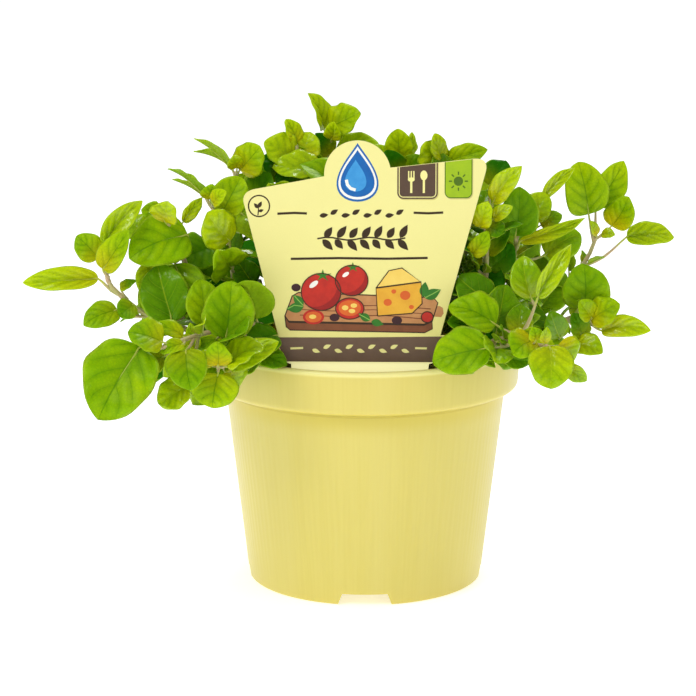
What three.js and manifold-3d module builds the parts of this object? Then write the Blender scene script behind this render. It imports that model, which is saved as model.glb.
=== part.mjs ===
// Oregano plant in a round plastic pot, with a slip-in plant label.
// Millimetres, +Z up. The origin is the middle of the pot's foot, on the ground.
// -Y is the front of the pot, where the label stands.

import * as THREE from 'three';
import Module from 'manifold-3d';
import { mergeVertices } from 'three/addons/utils/BufferGeometryUtils.js';

const wasm = await Module();
wasm.setup();

// Driving dimensions: pot
const RIM_RADIUS = 60;
const POT_HEIGHT = 92.2;
const FOOT_RADIUS = 45.3;
const COLLAR_FOOT = 74.7;
const NECK_RADIUS = 54;
const WALL = 1.2;
const LIP_WIDTH = 3.5;
const FLOOR_LIFT = 4.5;
const FLOOR_THICK = 1.5;
const FOOT_RING_INNER = 36;
const POT_SIDES = 32;
const NOTCH_TOP_WIDTH = 17;
const NOTCH_FOOT_WIDTH = 21;
const NOTCH_DEPTH = 14;
const NOTCH_COUNT = 4;
const DRAIN_RADIUS = 3.5;
const DRAIN_RING = 24;
const DRAIN_COUNT = 6;
const DRAIN_SIDES = 8;
const DRAIN_CUT = 6;
const CLEARANCE = 0.35;

// The wall's section as [radius, height]: up the outside, over the lip and down the inside.
const FLOOR_TOP = FLOOR_LIFT + FLOOR_THICK;
const LIP_INNER = RIM_RADIUS - LIP_WIDTH;
const INNER_NECK = NECK_RADIUS - WALL - 0.1;
const INNER_FOOT = FOOT_RADIUS - WALL + 0.4;
const POT_SECTION = [
  [0, FLOOR_LIFT], [FOOT_RING_INNER - 1.5, FLOOR_LIFT], [FOOT_RING_INNER, 0],
  [FOOT_RADIUS - 1.3, 0], [FOOT_RADIUS, 1.3],
  [NECK_RADIUS, COLLAR_FOOT], [NECK_RADIUS + 3, COLLAR_FOOT + 0.9],
  [RIM_RADIUS - 1.2, COLLAR_FOOT + 3.6], [RIM_RADIUS - 0.3, COLLAR_FOOT + 8],
  [RIM_RADIUS, POT_HEIGHT - 1.2], [RIM_RADIUS - 1.1, POT_HEIGHT],
  [LIP_INNER + 0.6, POT_HEIGHT - 0.3], [LIP_INNER, POT_HEIGHT - 1.5],
  [RIM_RADIUS - WALL - 0.5, POT_HEIGHT - 3], [RIM_RADIUS - WALL - 1.2, COLLAR_FOOT + 4.8],
  [INNER_NECK, COLLAR_FOOT - 0.2], [INNER_FOOT, FLOOR_TOP], [0, FLOOR_TOP],
];

// Driving dimensions: soil
const SOIL_LEVEL = 80;
const SOIL_DOME = 1.5;
const SOIL_SECTION = [
  [0, FLOOR_TOP + CLEARANCE], [INNER_FOOT - 1, FLOOR_TOP + CLEARANCE],
  [INNER_NECK - CLEARANCE - 0.2, COLLAR_FOOT - 1], [INNER_NECK - CLEARANCE + 4, SOIL_LEVEL],
  [0, SOIL_LEVEL + SOIL_DOME],
];

// Driving dimensions: label card
const LABEL_THICK = 0.8;
const LABEL_CURVE_STEPS = 5;
const LABEL_LEAN = THREE.MathUtils.degToRad(7);
const LABEL_FOOT = new THREE.Vector3(0, -42, 92);
const LOBE = { x: -2.9, y: 69.5, radius: 12.2 };
const LOBE_ENDS = { join: 11, start: 16, finish: 184 };
const TONGUE_WIDTH = 40;
const TONGUE_TIP_WIDTH = 20;
const TONGUE_SHOULDER = 12;
const TONGUE_DEPTH = 36;
const NECK = { left: -27, right: 22.6, depth: 6.5, end: 9.5 };

// Corners of the card in its own plane: x to the right, y up from the rim's level. Its neck goes on
// below the band and narrows to the tongue just over the soil.
const CARD_FOOT = { left: [-27.2, 0], right: [23.4, 0] };
const BAND_FOOT_CORNER = { left: [-29, 0, -29.8, 2], right: [25.2, 0, 25.8, 2] };
const BAND_TOP = { left: [-33.9, 10], right: [29.5, 10.5] };
const CARD_WAIST = { left: [-31.9, 10.2], right: [27.6, 10.6] };
const CARD_SHOULDER = { left: [-44.5, 59], right: [43.9, 70.5] };
const CARD_TOP_CORNER = { left: [-39.3, 64.2], right: [45, 75.6, 39.4, 75.1] };
const CARD_TOP_LEFT_TURN = [-45.4, 63.4];

// Driving dimensions: plant
const STEM_RADIUS = 1.7;
const STEM_TIP_RADIUS = 1.0;
const STEM_SEAT = 68;
const STEM_STRAIGHT = 3;
const LAST_JOINT = 1.2;
const STEM_SQUARE_WAY = new THREE.Vector3(0.35, 0.94, 0);
const PETIOLE_WIDTH = 1.5;
const SHORTEST_PETIOLE = 0.8;
const BLADE_THICK = 1.2;
const BIG_LEAF = 21;
const SMALL_LEAF = 7;
const LEAF_ARCH = 0.06;
const FLAT_FOLD = 13;
const LEAF_SPREAD = 1.14;
const END_ON = 0.92;
const EDGE_ON = 0.3;
const SKY_FACE = new THREE.Vector3(0, 0.3, 1);
const TOUCH_GAP = 0.35;
const GRID = 0.001;

const POT_COLOUR = 0xe9d97a;
const SOIL_COLOUR = 0x3b2a1c;
const LABEL_COLOUR = 0xf8f1a6;
const LEAF_COLOURS = [0x94b604, 0x7ea400, 0x62890a, 0x86a914, 0x4f7d12];
const ROUGHNESS = { pot: 0.4, soil: 0.95, label: 0.5, leaf: 0.45 };

const vector = (x, y, z) => new THREE.Vector3(x, y, z);
const radians = THREE.MathUtils.degToRad;

// ---------------------------------------------------------------- solids

function toSolid(geometry) {
  const bare = geometry.index ? geometry.toNonIndexed() : geometry.clone();
  bare.deleteAttribute('normal');
  bare.deleteAttribute('uv');
  const merged = mergeVertices(bare, 1e-4);
  return new wasm.Manifold(new wasm.Mesh({
    numProp: 3,
    vertProperties: new Float32Array(merged.attributes.position.array),
    triVerts: new Uint32Array(merged.index.array),
  }));
}

// Snaps the vertices to a micron grid, and drops the slivers that collapse or fold flat on it.
function weld(solid) {
  const { vertProperties, triVerts } = solid.getMesh();
  const ids = new Map();
  const positions = [];
  const welded = Array.from({ length: vertProperties.length / 3 }, (_, i) => {
    const snapped = [0, 1, 2].map((k) => Math.round(vertProperties[3 * i + k] / GRID) * GRID);
    const key = snapped.map((value) => Math.round(value / GRID)).join();
    if (!ids.has(key)) {
      ids.set(key, positions.length / 3);
      positions.push(...snapped);
    }
    return ids.get(key);
  });
  const faces = new Map();
  for (let t = 0; t < triVerts.length; t += 3) {
    const face = [welded[triVerts[t]], welded[triVerts[t + 1]], welded[triVerts[t + 2]]];
    const key = [...face].sort((a, b) => a - b).join();
    if (new Set(face).size === 3 && !faces.delete(key)) faces.set(key, face);
  }
  return { positions, faces: [...faces.values()] };
}

// Splits a list of faces into its closed shells and keeps the largest one.
function largestShell(faces) {
  const owner = new Map();
  const find = (i) => {
    let top = i;
    while (owner.has(top)) top = owner.get(top);
    return top;
  };
  for (const [a, b, c] of faces) {
    for (const other of [b, c]) {
      if (find(a) !== find(other)) owner.set(find(a), find(other));
    }
  }
  const shells = new Map();
  for (const face of faces) {
    const key = find(face[0]);
    shells.set(key, [...(shells.get(key) ?? []), face]);
  }
  return [...shells.values()].sort((a, b) => b.length - a.length)[0];
}

function toMesh(name, solid, colour, roughness) {
  const { positions, faces } = weld(solid);
  const geometry = new THREE.BufferGeometry();
  geometry.setAttribute('position', new THREE.Float32BufferAttribute(positions, 3));
  geometry.setIndex(largestShell(faces).flat());
  const material = new THREE.MeshStandardMaterial({ color: colour, roughness, metalness: 0 });
  const mesh = new THREE.Mesh(geometry, material);
  mesh.name = name;
  return mesh;
}

// A closed skin over rings of three or four points each. A last ring of one point is a tip.
// The diagonals run alike on both faces of a blade.
function loft(rings) {
  const points = rings.flat();
  const count = rings[0].length;
  const triangles = count === 4 ? [[0, 1, 2], [0, 2, 3]] : [[0, 1, 2]];
  for (let i = 0; i + 1 < rings.length; i += 1) {
    const here = count * i;
    const next = here + count;
    for (let k = 0; k < count; k += 1) {
      const after = (k + 1) % count;
      if (rings[i + 1].length === 1) {
        triangles.push([here + k, next, here + after]);
      } else if (k % 2 === 0) {
        triangles.push([here + k, next + after, here + after]);
        triangles.push([here + k, next + k, next + after]);
      } else {
        triangles.push([here + k, next + k, here + after]);
        triangles.push([here + after, next + k, next + after]);
      }
    }
  }
  if (rings.at(-1).length === 4) {
    const end = 4 * (rings.length - 1);
    triangles.push([end, end + 2, end + 1], [end, end + 3, end + 2]);
  }
  const volume = triangles.reduce((sum, [a, b, c]) => (
    sum + points[a].dot(vector(0, 0, 0).crossVectors(points[b], points[c]))), 0);
  const outward = volume > 0 ? triangles : triangles.map(([a, b, c]) => [a, c, b]);
  const geometry = new THREE.BufferGeometry();
  geometry.setFromPoints(points);
  geometry.setIndex(outward.flat());
  return geometry;
}

const boxOf = (geometry) => new THREE.Box3().setFromBufferAttribute(geometry.attributes.position);

// ---------------------------------------------------------------- pot, soil, label

function makePot() {
  const profile = POT_SECTION.map(([radius, height]) => new THREE.Vector2(radius, height));
  let pot = toSolid(new THREE.LatheGeometry(profile, POT_SIDES).rotateX(Math.PI / 2));

  const notch = new THREE.Shape([
    new THREE.Vector2(-NOTCH_FOOT_WIDTH / 2, -1), new THREE.Vector2(NOTCH_FOOT_WIDTH / 2, -1),
    new THREE.Vector2(NOTCH_TOP_WIDTH / 2, FLOOR_LIFT), new THREE.Vector2(-NOTCH_TOP_WIDTH / 2, FLOOR_LIFT),
  ]);
  for (let i = 0; i < NOTCH_COUNT; i += 1) {
    const cut = new THREE.ExtrudeGeometry(notch, { depth: NOTCH_DEPTH, bevelEnabled: false });
    cut.rotateX(Math.PI / 2).translate(0, NOTCH_DEPTH - FOOT_RADIUS - 1.7, 0);
    cut.rotateZ((i * 2 * Math.PI) / NOTCH_COUNT);
    pot = pot.subtract(toSolid(cut));
  }
  for (let i = 0; i < DRAIN_COUNT; i += 1) {
    const hole = new THREE.CylinderGeometry(DRAIN_RADIUS, DRAIN_RADIUS, DRAIN_CUT, DRAIN_SIDES);
    hole.rotateX(Math.PI / 2).translate(DRAIN_RING, 0, FLOOR_LIFT);
    hole.rotateZ(((i + 0.5) * 2 * Math.PI) / DRAIN_COUNT);
    pot = pot.subtract(toSolid(hole));
  }
  return pot;
}

// The outline of the card, from the tongue's tip round by the right side.
function labelShape() {
  const join = radians(LOBE_ENDS.join);
  const shape = new THREE.Shape();
  shape.moveTo(-TONGUE_TIP_WIDTH / 2, -TONGUE_DEPTH);
  shape.lineTo(TONGUE_TIP_WIDTH / 2, -TONGUE_DEPTH);
  shape.lineTo(TONGUE_WIDTH / 2, -TONGUE_SHOULDER);
  shape.lineTo(TONGUE_WIDTH / 2, -NECK.end);
  shape.lineTo(NECK.right, -NECK.depth);
  shape.lineTo(...CARD_FOOT.right);
  shape.quadraticCurveTo(...BAND_FOOT_CORNER.right);
  shape.lineTo(...BAND_TOP.right);
  shape.lineTo(...CARD_WAIST.right);
  shape.lineTo(...CARD_SHOULDER.right);
  shape.quadraticCurveTo(...CARD_TOP_CORNER.right);
  shape.lineTo(LOBE.x + LOBE.radius * Math.cos(join), LOBE.y + LOBE.radius * Math.sin(join));
  shape.absarc(LOBE.x, LOBE.y, LOBE.radius, radians(LOBE_ENDS.start), radians(LOBE_ENDS.finish), false);
  shape.lineTo(...CARD_TOP_CORNER.left);
  shape.quadraticCurveTo(...CARD_TOP_LEFT_TURN, ...CARD_SHOULDER.left);
  shape.lineTo(...CARD_WAIST.left);
  shape.lineTo(...BAND_TOP.left);
  shape.lineTo(...BAND_FOOT_CORNER.left.slice(2));
  shape.quadraticCurveTo(...BAND_FOOT_CORNER.left.slice(0, 2), ...CARD_FOOT.left);
  shape.lineTo(NECK.left, -NECK.depth);
  shape.lineTo(-TONGUE_WIDTH / 2, -NECK.end);
  shape.lineTo(-TONGUE_WIDTH / 2, -TONGUE_SHOULDER);
  return shape;
}

function makeLabel() {
  const card = new THREE.ExtrudeGeometry(labelShape(), {
    depth: LABEL_THICK, bevelEnabled: false, curveSegments: LABEL_CURVE_STEPS,
  });
  card.translate(0, 0, -LABEL_THICK / 2).rotateX(Math.PI / 2 - LABEL_LEAN);
  card.translate(LABEL_FOOT.x, LABEL_FOOT.y, LABEL_FOOT.z);
  return card;
}

// A plain slot for the tongue, a clearance wider than it on every side.
function tongueSlot() {
  const slot = new THREE.BoxGeometry(
    TONGUE_WIDTH + 2 * CLEARANCE, TONGUE_DEPTH + 2 * CLEARANCE, LABEL_THICK + 2 * CLEARANCE,
  );
  slot.translate(0, -TONGUE_DEPTH / 2, 0).rotateX(Math.PI / 2 - LABEL_LEAN);
  return slot.translate(LABEL_FOOT.x, LABEL_FOOT.y, LABEL_FOOT.z);
}

function makeSoil(stemHoles) {
  const profile = SOIL_SECTION.map(([radius, height]) => new THREE.Vector2(radius, height));
  let soil = toSolid(new THREE.LatheGeometry(profile, POT_SIDES).rotateX(Math.PI / 2));
  soil = soil.subtract(toSolid(tongueSlot()));
  for (const hole of stemHoles) soil = soil.subtract(toSolid(hole));
  return soil;
}

// ---------------------------------------------------------------- stems

// A stem runs up from its seat in the soil, then through its bends to the tip.
function stemPath(shoot, bow) {
  const [x, y] = shoot.root;
  const bends = shoot.stem.map(([bx, by, bz], i) => {
    const share = i + 1 < shoot.stem.length ? 1 : 0;
    return vector(bx, by + bow * share, bz);
  });
  return [vector(x, y, STEM_SEAT), vector(x, y, SOIL_LEVEL + STEM_STRAIGHT), ...bends];
}

// The point and direction at a share of the length above the soil.
function alongStem(path, share) {
  const open = path.slice(1);
  const lengths = open.slice(1).map((p, i) => p.distanceTo(open[i]));
  const total = lengths.reduce((a, b) => a + b, 0);
  let left = Math.min(share * total, total - LAST_JOINT);
  for (let i = 0; i < lengths.length; i += 1) {
    if (left <= lengths[i] || i === lengths.length - 1) {
      const direction = open[i + 1].clone().sub(open[i]).normalize();
      return { point: open[i].clone().addScaledVector(direction, left), direction };
    }
    left -= lengths[i];
  }
  return null;
}

// A square stem, as mint-family stems are, tapering to its tip.
function stemGeometry(path, pad) {
  const rings = path.map((point, i) => {
    const before = path[Math.max(i - 1, 0)];
    const after = path[Math.min(i + 1, path.length - 1)];
    const direction = after.clone().sub(before).normalize();
    const side = vector(0, 0, 0).crossVectors(direction, STEM_SQUARE_WAY).normalize();
    const other = vector(0, 0, 0).crossVectors(side, direction);
    const share = i / (path.length - 1);
    const radius = STEM_RADIUS + (STEM_TIP_RADIUS - STEM_RADIUS) * share + pad;
    return [
      point.clone().addScaledVector(side, radius), point.clone().addScaledVector(other, radius),
      point.clone().addScaledVector(side, -radius), point.clone().addScaledVector(other, -radius),
    ];
  });
  return loft(rings);
}

function stemHole(shoot) {
  const [x, y] = shoot.root;
  const path = [vector(x, y, STEM_SEAT - CLEARANCE), vector(x, y, SOIL_LEVEL + STEM_STRAIGHT)];
  const rings = path.map((point) => {
    const radius = STEM_RADIUS + 2 * CLEARANCE;
    return [
      vector(point.x + radius, point.y, point.z), vector(point.x, point.y + radius, point.z),
      vector(point.x - radius, point.y, point.z), vector(point.x, point.y - radius, point.z),
    ];
  });
  return loft(rings);
}

// ---------------------------------------------------------------- leaves

// Half-width of the blade, as a share of the widest place, along its length.
const BIG_OUTLINE = [[0, 0.12], [0.18, 0.8], [0.45, 1], [0.78, 0.72], [1, 0]];
const OUTLINE = [[0, 0.14], [0.3, 1], [0.72, 0.8], [1, 0]];
const SMALL_OUTLINE = [[0, 0.3], [0.42, 1], [1, 0]];

function outlineOf(width) {
  if (width >= BIG_LEAF) return BIG_OUTLINE;
  return width > SMALL_LEAF ? OUTLINE : SMALL_OUTLINE;
}

// Axis, side and normal of a blade whose upper face looks towards `face`.
function leafAxes(leaf) {
  const axis = leaf.tip.clone().sub(leaf.base);
  const length = axis.length();
  axis.normalize();
  const face = Math.abs(leaf.face.dot(axis)) > END_ON ? SKY_FACE : leaf.face;
  const normal = face.clone().addScaledVector(axis, -face.dot(axis)).normalize();
  normal.applyAxisAngle(axis, radians(leaf.roll));
  const side = vector(0, 0, 0).crossVectors(axis, normal);
  return { axis, normal, side, length };
}

// One section of a leaf. A folded one is a diamond about its midrib, a flat one has a keel below.
function leafSection(centre, across, over, reach, thick, fold) {
  if (fold < FLAT_FOLD) {
    return [
      centre.clone().addScaledVector(across, -reach), centre.clone().addScaledVector(across, reach),
      centre.clone().addScaledVector(over, -thick),
    ];
  }
  const lift = over.clone().multiplyScalar(reach * Math.sin(radians(fold)));
  const spread = reach * Math.cos(radians(fold));
  return [
    centre.clone().addScaledVector(across, -spread).add(lift),
    centre.clone().addScaledVector(over, thick / 2),
    centre.clone().addScaledVector(across, spread).add(lift),
    centre.clone().addScaledVector(over, -thick / 2),
  ];
}

// A leaf: petiole rooted at the stem's middle, then a blade that arches and folds on its midrib.
function leafGeometry(leaf, pad, bladeOnly = false) {
  const { axis, normal, side, length } = leafAxes(leaf);
  const rings = [];
  const petiole = leaf.base.clone().sub(leaf.root);
  const half = PETIOLE_WIDTH / 2 + pad;
  const thick = BLADE_THICK + 2 * pad;
  const raise = normal.clone().multiplyScalar(leaf.fold < FLAT_FOLD ? pad : 0);
  if (petiole.length() > SHORTEST_PETIOLE && !bladeOnly) {
    petiole.normalize();
    let across = vector(0, 0, 0).crossVectors(petiole, normal);
    if (across.length() < EDGE_ON) across = side.clone();
    across.normalize();
    if (across.dot(side) < 0) across.negate();
    const over = vector(0, 0, 0).crossVectors(across, petiole).normalize();
    rings.push(leafSection(leaf.root.clone().addScaledVector(over, thick / 3), across, over, half, thick,
      leaf.fold < FLAT_FOLD ? 0 : FLAT_FOLD));
  }
  for (const [along, share] of outlineOf(leaf.width)) {
    const rise = LEAF_ARCH * length * 4 * along * (1 - along);
    const centre = leaf.base.clone().addScaledVector(axis, along * length).addScaledVector(normal, rise);
    centre.add(raise);
    if (share === 0) {
      rings.push([centre.addScaledVector(axis, 2 * pad)]);
    } else {
      const reach = Math.max((leaf.width / 2) * share, PETIOLE_WIDTH / 2) + pad;
      rings.push(leafSection(centre, side, normal, reach, thick, leaf.fold));
    }
  }
  return loft(rings);
}

// ---------------------------------------------------------------- shoots laid by hand

// A leaf row: share of the stem where the petiole leaves it, then the blade's base x y z and
// tip x y z, its full width, the roll of its face in degrees, and half the fold at its midrib.
const FRONT_FACE = vector(0, -0.8, 0.6);
const LAID_SHOOTS = [
  { name: 'shoot_far_left', root: [-30, -20], inner: [0.22, 0.4],
    stem: [[-59, -36, 101], [-79, -44, 110], [-92, -46, 121], [-94, -46, 127]],
    leaves: [
      [0.86, -97, -46, 122, -125, -44, 121, 14, 10, 48],
      [0.97, -95, -48, 128, -85, -52, 143, 10, 10, 14],
      [0.95, -97, -44, 130, -105, -42, 138, 11, -10, 12],
      [1, -95, -43, 136, -81, -40, 152, 11, 20, 28],
      [0.72, -90, -48, 113, -102, -52, 108, 10, 0, 8],
      [0.66, -84, -48, 115, -89, -50, 111, 8, 0, 5],
      [0.84, -89, -47, 121, -83, -48, 124, 4, 0, 5],
    ] },
  { name: 'shoot_lower_left', root: [-36, -28], inner: [0.3, 0.5],
    stem: [[-45, -41, 104], [-58, -62, 107], [-71, -77, 105]],
    leaves: [
      [1, -78, -78, 104, -94, -88, 80, 26, 0, 7],
      [0.93, -71, -77, 107, -83, -79, 111, 13, 10, 10],
      [0.9, -71, -73, 101, -82, -71, 96, 11, 0, 8],
      [0.75, -63, -74, 91, -73, -75, 84, 11, 0, 10],
      [0.78, -63, -76, 104, -61, -82, 91, 13.5, 0, 6],
      [0.85, -64, -75, 106, -72, -77, 103, 5, 0, 8],
    ] },
  { name: 'shoot_front_left', root: [-24, -33],
    stem: [[-47, -55, 101], [-51, -66, 98], [-52, -73, 97]],
    leaves: [
      [0.97, -52, -74, 98, -52, -77, 107, 9, 0, 10],
      [1, -49, -74, 98, -36, -72, 105, 12, -15, 12],
      [0.9, -49, -71, 95, -31, -65, 103, 11, 30, 30],
      [1, -52, -74, 95, -54, -76, 83, 17, 0, 6],
      [0.86, -50, -70, 94, -45, -68, 88, 12, 0, 8],
      [0.9, -54, -71, 97, -57, -70, 103, 7, 0, 12],
    ] },
  { name: 'shoot_round_leaf', root: [-24, -24],
    stem: [[-38, -40, 106], [-46, -54, 105], [-49, -57, 103]],
    leaves: [
      [1, -50, -59, 105, -48, -55, 125, 18, 0, 6],
      [0.7, -58, -49, 108, -60, -45, 124, 12, 10, 10],
      [0.9, -61, -56, 100, -63, -56, 110, 5, 0, 10],
      [0.45, -43, -42, 108, -30, -34, 114, 11, 0, 10],
      [0.5, -46, -44, 100, -32, -35, 103, 12, 0, 8],
    ] },
  { name: 'shoot_left_middle', root: [-38, -8],
    stem: [[-56, -30, 107], [-66, -33, 127], [-71, -34, 143]],
    leaves: [
      [0.88, -75, -36, 128, -76, -46, 109, 17, 0, 8],
      [0.84, -70, -36, 128, -66, -42, 109, 16, 0, 8],
      [0.82, -65, -35, 142, -86, -42, 137, 16, -10, 10],
      [0.82, -79, -33, 128, -80, -38, 115, 9, 10, 10],
      [1, -74, -33, 144, -82, -37, 148, 8, 0, 12],
      [1, -73, -35, 144, -71, -39, 152, 10, 0, 14],
      [0.96, -67, -32, 143, -60, -30, 152, 8, 40, 30],
      [0.85, -79, -30, 138, -88, -27, 143, 10, 0, 8],
    ] },
  { name: 'shoot_upper_left', root: [-30, 2],
    stem: [[-47, -20, 112], [-51, -25, 134], [-57, -28, 150]],
    leaves: [
      [1, -57, -30, 151, -56, -33, 157, 7, 0, 15],
      [1, -56, -31, 150, -51, -34, 155, 6, 0, 15],
      [0.97, -59, -28, 152, -72, -30, 163, 8, 72, 25],
      [0.95, -60, -26, 152, -72, -22, 157, 7, 72, 25],
      [0.72, -50, -32, 136, -58, -38, 147, 14, 0, 7],
      [0.85, -53, -29, 146, -46, -26, 159, 13, 10, 10],
      [0.5, -57, -27, 132, -68, -34, 128, 15, 0, 8],
    ] },
  { name: 'shoot_high_left', root: [-18, 10], inner: [0.5, 0.7],
    stem: [[-40, 0, 128], [-45, -8, 148], [-49, -12, 159]],
    leaves: [
      [0.97, -50, -12, 160, -64, -14, 172, 9, 72, 25],
      [0.95, -51, -10, 161, -65, -6, 166, 8, 72, 25],
      [1, -47, -14, 160, -39, -16, 169, 13, 0, 10],
      [1, -48, -15, 161, -49, -18, 166, 6, 0, 14],
      [0.7, -43, -12, 148, -36, -14, 159, 13, 10, 10],
      [0.6, -47, -10, 143, -38, -24, 135, 14, 0, 8],
    ] },
  { name: 'shoot_top_left', root: [-12, -4], inner: [0.55, 0.75],
    stem: [[-28, -8, 137], [-26, -6, 159], [-26, -4, 168]],
    leaves: [
      [1, -26, -3, 169, -30, -3, 178, 7, 20, 14],
      [0.88, -27, -5, 163, -38, -7, 170, 13, 0, 10],
      [0.9, -24, -3, 163, -21, -1, 173, 12, 0, 10],
      [0.75, -17, -8, 160, -35, -10, 161, 12, 10, 12],
    ] },
  { name: 'shoot_top', root: [-6, 12], inner: [0.6, 0.8],
    stem: [[-11, 10, 130], [-14, 10, 155], [-13, 8, 171]],
    leaves: [
      [1, -16, 8, 173, -22, 6, 187, 9, 35, 20],
      [1, -14, 7, 174, -2, 3, 180, 13, 0, 14],
      [0.97, -13, 5, 170, -12, 1, 177, 6.5, 0, 12],
      [0.8, -11, 7, 163, 5, 5, 168, 11, 10, 12],
    ] },
  { name: 'shoot_top_right', root: [6, 6], inner: [0.6, 0.8],
    stem: [[14, 6, 131], [14, 4, 159]],
    leaves: [
      [1, 13, 3, 162, 12, 1, 174, 10, 0, 12],
      [1, 15, 5, 162, 18, 8, 172, 6, 50, 25],
      [0.92, 10, 4, 159, 3, 4, 168, 7, 10, 14],
      [0.95, 14, 2, 159, 23, -1, 163, 7, 20, 14],
    ] },
  { name: 'shoot_high_right', root: [15, 0], inner: [0.6, 0.8],
    stem: [[31, -2, 132], [28, -3, 160]],
    leaves: [
      [1, 27, -3, 161, 23, -5, 170, 12, 0, 10],
      [1, 29, -2, 163, 26, -4, 173, 7, 20, 14],
      [0.95, 31, -3, 162, 46, -7, 169, 10, 10, 14],
    ] },
  { name: 'shoot_by_label', root: [25, -12],
    stem: [[43, -24, 113], [45, -26, 137], [46, -27, 148]],
    leaves: [
      [0.97, 46, -20, 155, 52, -16, 164, 11, 0, 8],
      [1, 47, -29, 150, 57, -33, 164, 12, 10, 16],
      [0.9, 42, -31, 141, 45, -35, 151, 10, 0, 12],
      [0.78, 39, -32, 131, 45, -34, 140, 7, 20, 20],
      [0.93, 47, -30, 144, 54, -32, 149, 5, 20, 14],
      [0.88, 45, -31, 141, 51, -35, 139, 8, 0, 8],
    ] },
  { name: 'shoot_upper_right', root: [31, 2],
    stem: [[54, -10, 110], [56, -14, 130], [58, -15, 139]],
    leaves: [
      [0.9, 56, -19, 136, 57, -23, 155, 14, 0, 8],
      [1, 62, -13, 141, 68, -10, 151, 10, 20, 14],
      [1, 67, -9, 149, 79, -6, 160, 8, 20, 16],
      [0.95, 66, -12, 139, 74, -11, 143, 6, 10, 14],
      [0.85, 58, -18, 134, 83, -14, 142, 9, 50, 20],
      [0.8, 68, -14, 128, 81, -12, 136, 14, 0, 8],
    ] },
  { name: 'shoot_far_right', root: [36, 14], inner: [0.3, 0.45],
    stem: [[56, 12, 102], [73, 14, 106], [86, 22, 119], [91, 26, 129]],
    leaves: [
      [0.97, 89, 25, 138, 84, 22, 159, 17, 0, 7],
      [1, 93, 30, 141, 102, 34, 158, 11, 30, 20],
      [1, 97, 27, 133, 103, 24, 145, 11, 0, 9],
      [0.82, 104, 35, 127, 124, 42, 126, 9.5, 10, 14],
      [1, 91, 24, 130, 88, 21, 136, 4, 0, 12],
      [1, 93, 26, 130, 98, 23, 130, 4, 20, 12],
    ] },
  { name: 'shoot_right_middle', root: [40, -4], inner: [0.35, 0.55],
    stem: [[57, -6, 101], [73, -10, 102], [83, -15, 103], [86, -17, 103]],
    leaves: [
      [0.75, 83, -13, 108, 82, -17, 125, 17, 0, 10],
      [1, 85, -18, 104, 95, -21, 111, 11, 0, 10],
      [0.97, 89, -19, 100, 107, -23, 101, 10, 15, 22],
      [0.85, 82, -18, 97, 78, -20, 107, 8, 10, 12],
      [0.9, 79, -20, 95, 89, -25, 93, 9, 0, 10],
      [1, 85, -19, 105, 80, -22, 112, 8, 0, 12],
    ] },
  { name: 'shoot_lower_right', root: [22, -34], inner: [0.35, 0.55],
    stem: [[48, -51, 103], [59, -65, 104], [64, -73, 105]],
    leaves: [
      [1, 65, -73, 105, 65, -79, 91, 14.5, 0, 6],
      [0.9, 71, -68, 97, 79, -67, 91, 6, 40, 20],
      [0.82, 60, -70, 106, 52, -76, 102, 12, 0, 8],
      [0.85, 60, -73, 107, 59, -74, 112, 5, 0, 12],
      [0.72, 44, -64, 101, 24, -62, 94, 18, 0, 6],
      [0.6, 50, -58, 98, 60, -57, 96, 6, 30, 14],
      [0.95, 63, -73, 106, 64, -74, 112, 4, 20, 14],
      [1, 68, -72, 105, 74, -70, 99, 11, 0, 8],
    ] },
  { name: 'shoot_right_inner', root: [36, -20],
    stem: [[48, -36, 102], [55, -46, 103], [58, -52, 107]],
    leaves: [
      [0.9, 47, -54, 109, 30, -50, 115, 14, 0, 8],
      [1, 62, -54, 119, 74, -52, 138, 12, 30, 32],
      [0.95, 60, -50, 118, 57, -47, 133, 14, 0, 8],
      [0.5, 46, -38, 115, 34, -35, 123, 13, 0, 8],
      [0.8, 56, -49, 104, 57, -45, 115, 9, 0, 8],
    ] },
];

// ---------------------------------------------------------------- shoots grown by rule

const SEED = 4.7;
const SPIRAL_COUNT = 30;
const GROWN_SIDE_REACH = 76;
const GROWN_BACK_REACH = 86;
const GROWN_FRONT_REACH = 46;
const GROWN_HEIGHT = 162;
const GROWN_EDGE_HEIGHT = 118;
const ROOT_SPREAD = 47;
const ROOT_SPACING = 8;
const LABEL_ROOM = -34;
const GOLDEN_ANGLE = Math.PI * (3 - Math.sqrt(5));
const STEM_TURN = 0.5;
const STEM_DROOP = 26;
const PAIR_TURN = 0.7;
const FLAT_WAY = new THREE.Vector3(0.2, 0.3, 1);
const LEAF_SAG = -0.15;
const GROWN_FOLD = 9;
const GROWN_SEEDS = 1000;
const INNER_SEEDS = 5000;
const SHOOT_STEP = 61;
const ROOT_STEP = 31;
const PAIR_LENGTHS = [29, 28, 22];
const INNER_PLACES = [0.42, 0.64];
const INNER_LENGTH = 23;
const PAIR_PLACES = [0.48, 0.72, 0.94];
const TIP_LEAF = { spread: 0.6, base: 1.2, tip: 10, width: 6.5, fold: 18, faceRise: 60 };

// A repeatable draw between 0 and 1 for each number given.
function draw(index) {
  const wave = Math.sin(index * 12.9898 + SEED) * 43758.5453;
  return wave - Math.floor(wave);
}

// Roots sit on a sunflower spiral over the soil, clear of the laid roots and the label.
function grownRoots() {
  const taken = LAID_SHOOTS.map((shoot) => shoot.root);
  const roots = [];
  for (let k = 1; k <= SPIRAL_COUNT; k += 1) {
    const radius = ROOT_SPREAD * Math.sqrt(k / SPIRAL_COUNT);
    const angle = k * GOLDEN_ANGLE;
    const place = [radius * Math.cos(angle), radius * Math.sin(angle)];
    const far = ([x, y]) => Math.hypot(x - place[0], y - place[1]) > ROOT_SPACING;
    if (place[1] > LABEL_ROOM && taken.every(far)) {
      taken.push(place);
      roots.push(place);
    }
  }
  return roots;
}

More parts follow.
